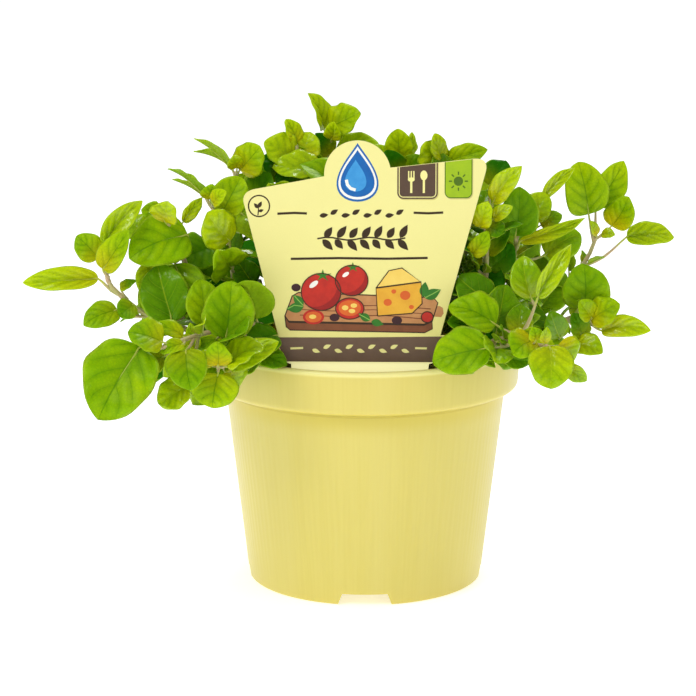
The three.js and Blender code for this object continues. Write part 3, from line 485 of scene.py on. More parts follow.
def draw(index):
    """A repeatable draw between 0 and 1 for each number given."""
    wave = math.sin(index * WAVE_STEP + SEED) * WAVE_HEIGHT
    return wave - math.floor(wave)


def ranged(limits, share):
    """The first of two numbers, with a share of the second added."""
    return limits[0] + limits[1] * share


def grown_roots():
    """Where the stems behind stand in the soil: a sunflower spiral, clear of the others."""
    taken = [shoot["root"] for shoot in LAID_SHOOTS.values()]
    roots = []
    for k in range(1, SPIRAL_COUNT + 1):
        radius = ROOT_SPREAD * math.sqrt(k / SPIRAL_COUNT)
        place = (radius * math.cos(k * GOLDEN_ANGLE), radius * math.sin(k * GOLDEN_ANGLE))
        if place[1] > LABEL_ROOM and all(math.dist(place, other) > ROOT_SPACING for other in taken):
            taken.append(place)
            roots.append(place)
    return roots


def grown_shoot(root, number):
    """A stem of the bush behind: it leans out from its root, further the nearer it is to the edge."""
    out = math.hypot(*root) / ROOT_SPREAD
    turn = math.atan2(root[1], root[0]) + (draw(number * ROOT_STEP + 1) - 0.5) * STEM_TURN
    depth = GROWN_BACK_REACH if math.sin(turn) > 0 else GROWN_FRONT_REACH
    span = ranged(REACH_BY_PLACE, out) * ranged(REACH_BY_DRAW, draw(number * ROOT_STEP + 2))
    reach = (math.cos(turn) * GROWN_SIDE_REACH * span, math.sin(turn) * depth * span)
    fall = out**EDGE_FALL * (GROWN_HEIGHT - GROWN_EDGE_HEIGHT)
    droop = STEM_DROOP * draw(number * ROOT_STEP + 3) * ranged(DROOP_BY_PLACE, out)
    height = GROWN_HEIGHT - fall - droop
    bends = []
    for share, rise in STEM_BENDS:
        across = [a + (b - a) * share for a, b in zip(root, reach)]
        bends.append((*across, SOIL_LEVEL + rise * (height - SOIL_LEVEL)))
    return {"root": root, "stem": [*bends, (*reach, height)], "grown": number}


def stem_path(shoot, bow):
    """Bends of a stem from its seat in the soil to its tip."""
    x, y = shoot["root"]
    last = len(shoot["stem"]) - 1
    bends = [Vector((bx, by + (bow if i < last else 0), bz)) for i, (bx, by, bz) in enumerate(shoot["stem"])]
    return [Vector((x, y, STEM_SEAT)), Vector((x, y, SOIL_LEVEL + STEM_STRAIGHT)), *bends]


def along_stem(path, share):
    """Point and direction at a share of the stem's length above the soil."""
    open_path = path[1:]
    lengths = [(b - a).length for a, b in zip(open_path, open_path[1:])]
    total = sum(lengths)
    left = min(share * total, total - LAST_JOINT)
    for i, length in enumerate(lengths):
        if left <= length or i == len(lengths) - 1:
            direction = (open_path[i + 1] - open_path[i]).normalized()
            return open_path[i] + direction * left, direction
        left -= length


def stem_radius(bend, bends):
    """The stem's half-width at one of its bends."""
    return STEM_RADIUS + (STEM_TIP_RADIUS - STEM_RADIUS) * bend / (bends - 1)


def stem_corners(path):
    """The corners of a solid stem at its bends, without its seat and tip."""
    corners = []
    for i in range(1, len(path) - 1):
        direction = (path[i + 1] - path[i - 1]).normalized()
        side = direction.cross(STEM_SQUARE_WAY).normalized()
        other = side.cross(direction)
        radius = stem_radius(i, len(path))
        corners += [path[i] + way * radius for way in (side, other, -side, -other)]
    return corners


def leaf_on(point, way, start, end, width, fold, face, share, roll=0):
    """A leaf whose petiole leaves the stem at a point; its blade reaches from start to end along its way."""
    return {
        "root": point, "base": point + way * start, "tip": point + way * end, "width": width,
        "roll": roll, "fold": fold, "face": face, "share": share,
    }


def paired_leaves(path, seed, places, lengths):
    """Opposite pairs, each pair a quarter turn on from the one below."""
    leaves = []
    outward = Vector((path[-1].x, path[-1].y, 0)).normalized()
    face = (outward * PAIR_FACE_OUT + PAIR_FACE_UP).normalized()
    for pair, (place, full) in enumerate(zip(places, lengths)):
        point, direction = along_stem(path, place)
        flat = direction.cross(FLAT_WAY).normalized()
        turn = (pair % 2) * (math.pi / 2) + (draw(seed + pair) - 0.5) * PAIR_TURN
        flat = Matrix.Rotation(turn, 3, direction) @ flat
        for half in range(2):
            pick = seed + FIRST_PICK + pair * PICKS_A_PAIR + half * PICKS_A_LEAF
            length = full * ranged(LENGTH_BY_DRAW, draw(pick))
            lift = ranged(LIFT_BY_PAIR, pair) + LIFT_BY_DRAW * draw(pick + 1)
            way = flat * (-1 if half else 1) + direction * lift
            way.z += LEAF_SAG
            way.normalize()
            petiole = ranged(PETIOLE_BY_DRAW, draw(pick + 2))
            width = length * ranged(WIDTH_BY_DRAW, draw(pick + 3))
            leaves.append(leaf_on(point, way, petiole, petiole + length, width, GROWN_FOLD, face, place))
    return leaves


def tip_leaves(path):
    """The two young leaves that stand up at the very tip."""
    point, direction = along_stem(path, 1)
    face = Vector((path[-1].x, path[-1].y, TIP_FACE_RISE)).normalized()
    leaves = []
    for spread in (-TIP_SPREAD, TIP_SPREAD):
        way = (direction.cross(FLAT_WAY).normalized() * spread + direction).normalized()
        leaves.append(leaf_on(point, way, TIP_BASE, TIP_END, TIP_WIDTH, TIP_FOLD, face, 1))
    return leaves


def laid_leaves(rows, path):
    """Leaves whose places are listed."""
    leaves = []
    for at, bx, by, bz, tx, ty, tz, width, roll, fold in rows:
        leaves.append({
            "root": along_stem(path, at)[0], "base": Vector((bx, by, bz)), "tip": Vector((tx, ty, tz)),
            "width": width * LEAF_SPREAD, "roll": roll, "fold": fold, "face": FRONT_FACE, "laid": True,
            "share": at,
        })
    return leaves


def wanted_leaves(shoot, path):
    """Every leaf that a shoot may bear."""
    if "leaves" in shoot:
        seed = INNER_SEEDS + shoot["number"] * SHOOT_STEP
        inner = paired_leaves(path, seed, shoot["inner"], [INNER_LENGTH] * len(shoot["inner"]))
        return laid_leaves(shoot["leaves"], path) + inner
    seed = GROWN_SEEDS + shoot["grown"] * SHOOT_STEP
    return paired_leaves(path, seed, PAIR_PLACES, PAIR_LENGTHS) + tip_leaves(path)


def leaf_axes(leaf):
    """Axis, side and normal of a blade whose upper face looks towards its face direction."""
    axis = leaf["tip"] - leaf["base"]
    length = axis.length
    axis.normalize()
    face = SKY_FACE if abs(leaf["face"].dot(axis)) > END_ON else leaf["face"]
    normal = (face - axis * face.dot(axis)).normalized()
    normal = Matrix.Rotation(math.radians(leaf["roll"]), 3, axis) @ normal
    return axis, axis.cross(normal), normal, length


def leaf_corners(leaf):
    """The corners that a solid blade has along its edge, and its tip."""
    axis, side, normal, length = leaf_axes(leaf)
    outline = OUTLINE if leaf["width"] > SMALL_LEAF else SMALL_OUTLINE
    if leaf["width"] >= BIG_LEAF:
        outline = BIG_OUTLINE
    fold = math.radians(leaf["fold"]) if leaf["fold"] >= FLAT_FOLD else 0
    corners = []
    for along, share in outline[1:]:
        arch = LEAF_ARCH * length * 4 * along * (1 - along)
        centre = leaf["base"] + axis * (along * length) + normal * arch
        reach = leaf["width"] / 2 * share
        if share == 0:
            corners.append(centre)
        else:
            lift = normal * reach * math.sin(fold)
            corners += [centre + side * reach * math.cos(fold) * way + lift for way in (-1, 1)]
    return corners


def leaf_places(leaf):
    """The places that the solid leaf may have been bent to."""
    if leaf.get("laid"):
        for scale in LAID_SCALES:
            for shift in DEPTH_SHIFTS:
                base, tip = (leaf[end] + Vector((0, shift, 0)) for end in ENDS)
                yield {**leaf, "base": base, "tip": base.lerp(tip, scale), "width": leaf["width"] * scale}
        return
    _, side, normal, _ = leaf_axes(leaf)
    for scale in GROWN_SCALES:
        for swing, lift in SWINGS:
            turn = Matrix.Rotation(math.radians(lift), 3, side)
            turn = turn @ Matrix.Rotation(math.radians(swing), 3, normal)
            base, tip = (leaf["root"] + turn @ ((leaf[end] - leaf["root"]) * scale) for end in ENDS)
            yield {**leaf, "base": base, "tip": tip, "width": leaf["width"] * scale}


# ---------------------------------------------------------------- reading the frame

CORNER_SLACK = 0.03
LEAST_FOUND = 0.5
KEPT_CHANGES = ("fold", "roll", "youth", "light", "chance", "sharp")


def corner_finder(node):
    """A finder of the corners of a node's solid, in millimetres."""
    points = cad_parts[node].data.vertices
    finder = KDTree(len(points))
    for i, point in enumerate(points):
        finder.insert(point.co / MM, i)
    finder.balance()
    return finder


def share_found(finder, corners):
    """The share of these corners that the solid has."""
    return sum(finder.find(corner)[2] < CORNER_SLACK for corner in corners) / len(corners)


def read_shoot(node, shoot):
    """The stem's bends and the leaves that the node's solid shows, as the frame holds them."""
    finder = corner_finder(node)
    paths = [stem_path(shoot, bow) for bow in STEM_BOWS]
    path = max(paths, key=lambda each: share_found(finder, stem_corners(each)))
    leaves = []
    changes = LEAF_CHANGES.get(node, {})
    for row, leaf in enumerate(wanted_leaves(shoot, path)):
        place = max(leaf_places(leaf), key=lambda each: share_found(finder, leaf_corners(each)))
        if share_found(finder, leaf_corners(place)) >= LEAST_FOUND:
            leaves.append(changed_leaf(place, changes.get(row, {})))
    for *row, light in FILLER_LEAVES.get(node, []):
        leaves.append({**laid_leaves([row], path)[0], "light": light})
    return path, leaves


def changed_leaf(leaf, change):
    """A leaf with the changes that are listed for it."""
    kept = {key: change[key] for key in KEPT_CHANGES if key in change}
    root, base, tip = (leaf[key] + Vector(change.get(key, (0, 0, 0))) for key in ("root", *ENDS))
    if change.get("turned"):
        base, tip = tip, base
    tip = base.lerp(tip, change.get("reach", 1))
    width = leaf["width"] * change.get("width", 1)
    return {**leaf, "root": root, "base": base, "tip": tip, "width": width, **kept}


def all_shoots():
    """Every shoot of the plant by the name of its node."""
    shoots = {name: {**shoot, "number": i} for i, (name, shoot) in enumerate(LAID_SHOOTS.items())}
    for number, root in enumerate(grown_roots()):
        shoots[f"shoot_{number + 1:02d}"] = grown_shoot(root, number)
    return {name: shoot for name, shoot in shoots.items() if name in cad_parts}


# ---------------------------------------------------------------- node trees in Python


class Wire:
    """An output socket that can be calculated with: each operator adds a Math or Vector Math node."""

    def __init__(self, maker, socket):
        self.maker = maker
        self.socket = socket

    def __add__(self, other):
        return self.maker.work("ADD", self, other)

    def __radd__(self, other):
        return self.maker.work("ADD", other, self)

    def __sub__(self, other):
        return self.maker.work("SUBTRACT", self, other)

    def __rsub__(self, other):
        return self.maker.work("SUBTRACT", other, self)

    def __mul__(self, other):
        return self.maker.work("MULTIPLY", self, other)

    def __truediv__(self, other):
        return self.maker.work("DIVIDE", self, other)

    def __pow__(self, other):
        return self.maker.work("POWER", self, other)

    def __abs__(self):
        return self.maker.work("ABSOLUTE", self)

    def split(self):
        """The x, y and z of a vector."""
        first = self.maker.add("ShaderNodeSeparateXYZ", inputs={0: self})
        return first, first.other(1), first.other(2)

    def other(self, output):
        """Another output of the same node."""
        return Wire(self.maker, self.socket.node.outputs[output])


def is_vector(value):
    """True for a vector or a colour, as a value or as a wire."""
    if isinstance(value, Wire):
        return value.socket.type in {"VECTOR", "RGBA"}
    return isinstance(value, (tuple, Vector))


class Maker:
    """Adds nodes to one tree, for a material or for geometry."""

    def __init__(self, tree):
        self.tree = tree

    def add(self, kind, settings=None, inputs=None, output=0):
        """A node of any kind: its settings first, then its sockets' values or links."""
        node = self.tree.nodes.new(kind)
        for name, value in (settings or {}).items():
            setattr(node, name, value)
        for key, value in (inputs or {}).items():
            self.join(value, node.inputs[key])
        return Wire(self, node.outputs[output]) if node.outputs else node

    def join(self, value, socket):
        """Sets a socket, or links one wire or a list of them to it."""
        if isinstance(value, list):
            for wire in reversed(value):
                self.join(wire, socket)
        elif isinstance(value, Wire):
            self.tree.links.new(value.socket, socket)
        elif socket.type == "RGBA" and len(value) == 3:
            socket.default_value = (*value, 1)
        elif socket.type == "VECTOR" and isinstance(value, (int, float)):
            socket.default_value = (value, value, value)
        else:
            socket.default_value = value

    def work(self, operation, *values):
        """A Math node, or Vector Math where a value is a vector."""
        vectors = [is_vector(value) for value in values]
        if not any(vectors):
            return self.add("ShaderNodeMath", {"operation": operation}, dict(enumerate(values)))
        if operation == "MULTIPLY" and not all(vectors):
            vector, number = values if vectors[0] else reversed(values)
            return self.add("ShaderNodeVectorMath", {"operation": "SCALE"}, {0: vector, 3: number})
        return self.add("ShaderNodeVectorMath", {"operation": operation}, dict(enumerate(values)))

    def sine(self, value):
        """The sine of an angle in radians."""
        return self.work("SINE", value)

    def cosine(self, value):
        """The cosine of an angle in radians."""
        return self.work("COSINE", value)

    def root(self, value):
        """The square root."""
        return self.work("SQRT", value)

    def greatest(self, first, second):
        """The greater of two values."""
        return self.work("MAXIMUM", first, second)

    def least(self, first, second):
        """The lesser of two values."""
        return self.work("MINIMUM", first, second)

    def vector(self, x, y, z):
        """A vector of three numbers."""
        return self.add("ShaderNodeCombineXYZ", inputs={0: x, 1: y, 2: z})

    def step(self, value, start, end):
        """A soft step from 0 at the start to 1 at the end."""
        settings = {"interpolation_type": "SMOOTHSTEP"}
        return self.add("ShaderNodeMapRange", settings, {0: value, 1: start, 2: end})

    def rise(self, height, zone):
        """A soft step over a zone of heights that is given in millimetres."""
        return self.step(height, zone[0] * MM, zone[1] * MM)

    def mix(self, share, first, second):
        """The first colour, with a share of the second."""
        return self.add("ShaderNodeMix", {"data_type": "RGBA"}, {0: share, 6: first, 7: second}, output=2)

    def noise(self, place, scale, detail=2.0):
        """Soft noise between 0 and 1."""
        return self.add("ShaderNodeTexNoise", inputs={"Vector": place, "Scale": scale, "Detail": detail})

    def cells(self, place, scale, feature="DISTANCE_TO_EDGE"):
        """Distance to the edge of irregular cells, or to their middle."""
        return self.add("ShaderNodeTexVoronoi", {"feature": feature}, {"Vector": place, "Scale": scale})

    def attribute(self, name):
        """A vector that the mesh carries."""
        return self.add("ShaderNodeAttribute", {"attribute_name": name}, output="Vector")

    def place(self):
        """The place on the piece, in metres."""
        return self.add("ShaderNodeTexCoord", output="Object")

    def named(self, name, kind="FLOAT_VECTOR"):
        """A value that the geometry carries."""
        return self.add("GeometryNodeInputNamedAttribute", {"data_type": kind}, {"Name": name})

    def store(self, geometry, name, value, kind="FLOAT_VECTOR"):
        """The geometry with a named value on its points."""
        inputs = {"Geometry": geometry, "Name": name, "Value": value}
        return self.add("GeometryNodeStoreNamedAttribute", {"data_type": kind, "domain": "POINT"}, inputs)


class Finish(Maker):
    """A material with one Principled shader."""

    def __init__(self, name):
        self.material = bpy.data.materials.new(name)
        self.material.use_nodes = True
        super().__init__(self.material.node_tree)
        self.tree.nodes.clear()

    def done(self, colour, height=None, depth=0.0, **sockets):
        """Closes the material; height is a relief in metres times depth."""
        inputs = {"Base Color": colour}
        for name, value in sockets.items():
            inputs[name.replace("_", " ").title().replace("Ior", "IOR")] = value
        if height is not None:
            inputs["Normal"] = self.add("ShaderNodeBump", inputs={"Height": height, "Distance": depth})
        shader = self.add("ShaderNodeBsdfPrincipled", inputs=inputs)
        self.add("ShaderNodeOutputMaterial", inputs={"Surface": shader})
        return self.material


class Growth(Maker):
    """A geometry tree with named inputs."""

    def __init__(self, name, **sizes):
        super().__init__(bpy.data.node_groups.new(name, "GeometryNodeTree"))
        self.tree.interface.new_socket("Geometry", in_out="INPUT", socket_type="NodeSocketGeometry")
        for label, kind in sizes.items():
            socket_type = f"NodeSocket{kind}"
            self.tree.interface.new_socket(label.replace("_", " "), in_out="INPUT", socket_type=socket_type)
        self.tree.interface.new_socket("Geometry", in_out="OUTPUT", socket_type="NodeSocketGeometry")
        self.first = self.add("NodeGroupInput")

    def given(self, name):
        """An input of the tree."""
        return self.first.other(name)

    def done(self, geometry, *materials):
        """Closes the tree: instances made real, then a material for each selection."""
        geometry = self.add("GeometryNodeRealizeInstances", inputs={"Geometry": geometry})
        for material, selection in materials:
            inputs = {"Geometry": geometry, "Material": material}
            if selection is not None:
                inputs["Selection"] = selection
            geometry = self.add("GeometryNodeSetMaterial", inputs=inputs)
        self.add("NodeGroupOutput", inputs={0: geometry})
        return self.tree


def grow(tree, source, name, values):
    """The mesh that a geometry tree makes of a source mesh, as a plain object."""
    carrier = bpy.data.objects.new(name + "_source", source)
    bpy.context.scene.collection.objects.link(carrier)
    modifier = carrier.modifiers.new("growth", "NODES")
    modifier.node_group = tree
    for socket in tree.interface.items_tree:
        if socket.in_out == "INPUT" and socket.name in values:
            modifier[socket.identifier] = values[socket.name]
    depsgraph = bpy.context.evaluated_depsgraph_get()
    mesh = bpy.data.meshes.new_from_object(carrier.evaluated_get(depsgraph), depsgraph=depsgraph)
    mesh.name = name
    bpy.data.objects.remove(carrier)
    bpy.data.meshes.remove(source)
    return place_piece(name, mesh)


def place_piece(name, mesh, *materials):
    """An object at the origin for a finished mesh."""
    for material in materials:
        mesh.materials.append(material)
    piece = bpy.data.objects.new(name, mesh)
    bpy.context.scene.collection.objects.link(piece)
    return piece


def join_frame(piece, slot, *nodes):
    """Ties a piece to the frame's body and hides the nodes that it stands for; its slot is not used."""
    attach(piece, BODY)
    if nodes:
        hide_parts(*nodes)


def paint(red, green, blue):
    """A colour from screen values of 0 to 255, as Blender stores it."""
    shares = (value / 255 for value in (red, green, blue))
    return tuple(s / 12.92 if s <= 0.04045 else ((s + 0.055) / 1.055) ** 2.4 for s in shares)


# ---------------------------------------------------------------- finishes

VEIN_COUNT = 4.2
VEIN_LEAN = 0.34
VEIN_BEND = 0.12
VEIN_START = 0.7
LIVING_SKIN = {"subsurface_weight": 0.08, "subsurface_scale": 0.001}
LEAF_TINTS = {"subsurface_radius": (0.6, 1.0, 0.02), "specular_tint": (0.8, 1.0, 0.25)}
MOULDED = {"subsurface_weight": 0.15, "subsurface_scale": 0.004, "subsurface_radius": (1.0, 0.8, 0.3)}
STEM_FIBRES = (1800.0, 1800.0, 160.0)
PEAT_FIBRES = (2200.0, 500.0, 900.0)

# The pot's streaks don't come closer to its axis than this, in metres
LEAST_RADIUS = 0.001

# Depth of the fine relief, in metres
LEAF_RELIEF = 0.0001
POT_RELIEF = 0.00004
PEAT_RELIEF = 0.0008
CARD_RELIEF = 0.00003
INK_RELIEF = 0.00002
PAPER_RELIEF = 0.0002

# Heights between which a colour, a painted shade or painted light sets in, in millimetres
SUNNY_HEIGHTS = (130, 190)
LIP_HIGHLIGHT_ZONE = (POT_HEIGHT - 2.2, POT_HEIGHT - 1.0)
COLLAR_SHADOW_START = (COLLAR_FOOT - 9, COLLAR_FOOT - 1)
COLLAR_SHADOW_END = (COLLAR_FOOT + 0.6, COLLAR_FOOT + 2.2)
COLLAR_EDGE_SHADE_START = (COLLAR_FOOT - 1.0, COLLAR_FOOT - 0.3)
COLLAR_EDGE_SHADE_END = (COLLAR_FOOT + 0.6, COLLAR_FOOT + 1.6)
CARD_FADE = (POT_HEIGHT, LABEL_TOP)
CARD_NECK_LIGHT = (POT_HEIGHT - 1, POT_HEIGHT + 3)


def vein_places(along, reach):
    """A number that is whole on each side vein; the veins bend forward on their way out."""
    return (along - reach * VEIN_LEAN - reach * reach * VEIN_BEND) * VEIN_COUNT + VEIN_START


def leaf_finish(plant):
    """Living leaf: veins, a pale rim partly painted as light through its thin edge, yellow base on young
    leaves, painted shade of deep green inside the bush, by the veins and the midrib, and painted sunlight.
    """
    f = Finish("leaf")
    along, across, face = f.attribute("blade").split()
    chance, light, youth = f.attribute("tone").split()
    place = f.place()
    _, _, height = place.split()
    reach = abs(across)
    cloud = f.noise(place, scale=110, detail=3)
    grain = f.noise(place, scale=900, detail=3)
    net = f.cells(place, scale=750)

    forward = vein_places(along, reach)
    gap = f.work("PINGPONG", forward, 0.5)
    inner = (1 - f.step(reach, 0.55, 0.95)) * (1 - f.step(along, 0.78, 0.92))
    pillow = f.step(gap, 0.0, 0.4)
    side_vein = (1 - f.step(gap, 0.0, 0.055)) * inner
    midrib = 1 - f.step(reach, 0.0, 0.045)
    vein = f.greatest(side_vein * 0.55, midrib)
    rim = f.step(reach, 0.89, 0.97)
    under = 1 - f.step(face, -0.02, 0.02)

    # Painted shade and light: leaves deep in the bush turn deep green, high and outer leaves turn sunlit
    # green
    colour = f.mix(f.step(light + (chance - 0.5) * 0.6, 0.0, 0.62), plant.shade_and_vein_green, plant.leaf_green)
    sunlit = cloud * 0.5 + light * 0.6 + chance * 0.45 + f.rise(height, SUNNY_HEIGHTS) * 0.25
    colour = f.mix(f.step(sunlit, 0.72, 1.2), colour, plant.sunlit_green)
    # Painted shade in the grooves beside the side veins
    colour = f.mix((1 - pillow) * inner * 0.24, colour, plant.shade_and_vein_green)
    # Painted shade along the midrib towards the leaf's base, where the blade folds
    midrib_shade = (1 - f.step(reach, 0.0, 0.5)) * (1 - f.step(along, 0.2, 0.9))
    colour = f.mix(midrib_shade * 0.3, colour, plant.shade_and_vein_green)
    colour = f.mix(youth * (1 - f.step(along, 0.0, 0.75)) * 0.75, colour, plant.young_yellow)
    pale_veins = f.greatest(f.step(chance, 0.45, 0.6), under)
    vein_colour = f.mix(pale_veins, plant.shade_and_vein_green, plant.vein_green)
    colour = f.mix(vein * 0.5, colour, vein_colour)
    # Pale rim: partly the margin's own colour, partly painted light shining through the thin edge
    colour = f.mix(rim * 0.7, colour, plant.pale_rim_and_lit_hair_green)
    colour = f.mix(under * 0.5, colour, plant.under_green)
    colour = f.mix((1 - f.step(net, 0.0, 0.25)) * 0.14, colour, plant.shade_and_vein_green)

    relief = grain * 0.3 + f.step(net, 0.0, 0.5) * 0.4 - vein * 0.6
    roughness = 0.26 + chance * 0.16 + cloud * 0.12 + under * 0.25
    shine = f.step(chance, 0.45, 0.85) * 0.5
    return f.done(
        colour, relief, LEAF_RELIEF, roughness=roughness, specular_ior_level=0.25,
        coat_weight=shine, coat_roughness=0.13, **LIVING_SKIN, **LEAF_TINTS,
    )


def stem_finish(plant):
    """Young square stem and petiole: pinkish brown, greener towards the tips, faintly ribbed, darker inside
    the bush as painted shade.
    """
    f = Finish("stem")
    _, light, youth = f.attribute("tone").split()
    place = f.place()
    cloud = f.noise(place, scale=160, detail=3)
    fibre = f.noise(place * STEM_FIBRES, scale=1, detail=2)
    colour = f.mix(f.step(cloud, 0.35, 0.7), plant.stem_pink, plant.stem_green)
    colour = f.mix(f.least(youth, 1.0) * 0.45, colour, plant.petiole_pale)
    colour = f.mix(f.step(youth, 1.0, 1.5) * 0.8, colour, plant.vein_green)
    # Painted shade: stems deeper in the bush turn darker green
    colour = f.mix((1 - light) * 0.25, colour, plant.shade_and_vein_green)
    colour = f.mix(fibre * 0.25, colour, plant.stem_brown)
    roughness = 0.45 + cloud * 0.15
    return f.done(colour, fibre, LEAF_RELIEF, roughness=roughness, sheen_weight=0.15, **LIVING_SKIN)


def hair_finish(plant):
    """Fine leaf hair, painted pale where light falls on the bush's outside and greener inside."""
    f = Finish("leaf_hair")
    _, light, _ = f.attribute("tone").split()
    cloud = f.noise(f.place(), scale=500)
    colour = f.mix(f.step(light, 0.1, 0.9), plant.leaf_green, plant.pale_rim_and_lit_hair_green)
    return f.done(f.mix(cloud * 0.5, colour, plant.vein_green), roughness=0.6, specular_ior_level=0.1)


def pot_finish(pot):
    """Thin moulded plastic, a little waxy: upright streaks, fine moulding grain, a painted highlight on the
    lip, painted shadow under the collar and painted shade on its lower edge.
    """
    f = Finish("pot_plastic")
    place = f.place()
    x, y, z = place.split()
    radius = f.greatest(f.root(x * x + y * y), LEAST_RADIUS)
    round_way = f.vector(x / radius, y / radius, z * 0.6)
    streak = f.noise(round_way, scale=46, detail=2)
    broad = f.noise(round_way, scale=4, detail=1)
    cloud = f.noise(place, scale=30, detail=3)
    grain = f.noise(place, scale=2600, detail=2)
    # Painted shadow under the collar
    groove = f.rise(z, COLLAR_SHADOW_START) * (1 - f.rise(z, COLLAR_SHADOW_END))
    # Painted shade on the collar's lower edge, to dim the light it catches from the floor below
    edge = f.rise(z, COLLAR_EDGE_SHADE_START) * (1 - f.rise(z, COLLAR_EDGE_SHADE_END))
    colour = f.mix(f.step(streak, 0.3, 0.75) * 0.3, pot.wall_yellow, pot.shade_yellow)
    colour = f.mix(f.step(broad + cloud * 0.3, 0.5, 0.95) * 0.3, colour, pot.light_yellow)
    colour = f.mix(groove * 0.6, colour, pot.collar_shadow_yellow)
    colour = f.mix(edge * 0.4, colour, pot.collar_edge_shade_yellow)
    # Painted highlight along the lip's top, where it catches the light
    colour = f.mix(f.rise(z, LIP_HIGHLIGHT_ZONE) * 0.8, colour, pot.lip_highlight_yellow)
    relief = grain * 0.4 + streak * 0.6
    roughness = 0.3 + cloud * 0.08
    return f.done(colour, relief, POT_RELIEF, roughness=roughness, specular_ior_level=0.45, **MOULDED)


def soil_finish(soil, name="soil", lift=0.0):
    """Moist peat: dark crumbs and a few paler fibres."""
    f = Finish(name)
    place = f.place()
    lumps = f.noise(place, scale=260, detail=4)
    crumbs = f.cells(place, scale=420, feature="F1")
    fibre = f.noise(place * PEAT_FIBRES, scale=1, detail=2)
    colour = f.mix(f.step(lumps, 0.35 - lift, 0.7), soil.peat_dark, soil.peat_brown)
    colour = f.mix(f.step(fibre, 0.62, 0.72) * 0.6, colour, soil.fibre_tan)
    relief = lumps * 0.6 + crumbs * 0.4
    return f.done(colour, relief, PEAT_RELIEF, roughness=0.82 + lumps * 0.15)


def card_finish(label):
    """Printed plastic card: warm cream, a shade deeper towards its foot, fine grain; its neck under the band
    is painted light, paler and glowing.
    """
    f = Finish("label_card")
    place = f.place()
    _, _, z = place.split()
    # Painted light: the neck under the band, which lies in shade, is made paler and glows
    neck = 1 - f.rise(z, CARD_NECK_LIGHT)
    cloud = f.noise(place, scale=70, detail=3)
    grain = f.noise(place, scale=3000, detail=2)
    colour = f.mix(f.rise(z, CARD_FADE), label.card_foot, label.card_top)
    colour = f.mix(f.step(cloud, 0.3, 0.8) * 0.3, colour, label.card_warm)
    colour = f.mix(neck, colour, label.card_neck_light)
    colour = f.mix(grain * 0.06, colour, label.ink_brown)
    glow = f.mix(neck, (0, 0, 0), label.card_neck_light)
    roughness = 0.38 + cloud * 0.08
    return f.done(colour, grain, CARD_RELIEF, roughness=roughness, coat_weight=0.15, coat_roughness=0.3,
                  emission_color=glow, emission_strength=0.4)


def ink_finish(name, colour, partner):
    """A printed ink, slightly mottled with its partner colour."""
    f = Finish(name)
    place = f.place()
    cloud = f.noise(place, scale=260, detail=3)
    grain = f.noise(place, scale=1400, detail=2)
    blend = f.mix(f.step(cloud, 0.3, 0.75) * 0.45, colour, partner)
    blend = f.mix(f.step(grain, 0.5, 0.75) * 0.12, blend, partner)
    return f.done(blend, grain, INK_RELIEF, roughness=0.36 + cloud * 0.1, coat_weight=0.1)


def floor_finish(stage):
    """Matte, pale studio paper."""
    f = Finish("studio_paper")
    place = f.place()
    tooth = f.noise(place, scale=60, detail=4)
    colour = f.mix(tooth * 0.04, stage.paper, stage.paper_shade)
    return f.done(colour, tooth, PAPER_RELIEF, roughness=0.9, specular_ior_level=0.1,
                  emission_color=colour, emission_strength=stage.paper_glow)


# ---------------------------------------------------------------- leafy shoots

BUSH_MIDDLE = Vector((0, 4, 100))
BUSH_REACH = Vector((118, 84, 80))
LAID_STEPS = (25, 15)
GROWN_STEPS = (17, 11)
SMALL_STEPS = (12, 8)
TUBE_STEPS = 3
TUBE_SIDES = 7
STEM_GIRTH = 0.76
HAIR_TAPER = 0.06
HAIR_SIZES = (0.5, 1.3)
WELD = 0.0001
INNER_SHADE = 1.5

# Form of a blade: the belly of its outline, and the waves of its rim along it, across it and by chance
BELLY_PLACE = 0.68
BELLY_SPREAD = 0.16
UNEVEN_WAVES = (11, 1.5, 40)
UNEVEN_DEPTH = 0.02
LEAST_OUTLINE = 0.02
RUFFLE_WAVES = (5 * math.pi, 2, 20)
SIDE_BEND = 0.16
KEEL = 0.1
MIDRIB_GROOVE = 0.6

# Light, colour and form of a leaf: a number, and how much a full draw, place or length adds to it
LIGHT_BY_PLACE = (0.55, 0.45)
LIGHT_BY_DRAW = (0.55, 0.6)
YOUTH_BY_DRAW = (0.4, 0.6)
SOFT_FOLD = (5.0, 12)
WAVE_BY_DRAW = (0.03, 0.08)
SHARP_BY_WIDTH = (1.1, -1.05)
LEAST_SHARP = 0.1
SHARP_BY_DRAW = 0.25
GROWN_UP = 19
GROWING = 11

# How far a draw sways a leaf, and the draw at which it doesn't
DROOP_SWAY = (0.07, 0.35)
CUP_SWAY = (0.3, 0.45)
TWIST_SWAY = (0.5, 0.5)

# Petiole and midrib
STALK_SAG = Vector((0, 0, -0.08))
STALK_GIRTH = (0.36, 0.012)
STALK_FOOT = 1.3
STALK_TONE = (0.6, 0.5)
MIDRIB_TONE = 1.6
MIDRIB_GIRTH = (0.6, -0.5)
MIDRIB_SINK = 8
MIDRIB_DROP = 1.3
MIDRIB_PLACES = (0.0, 0.12, 0.4, 0.7, 0.9)

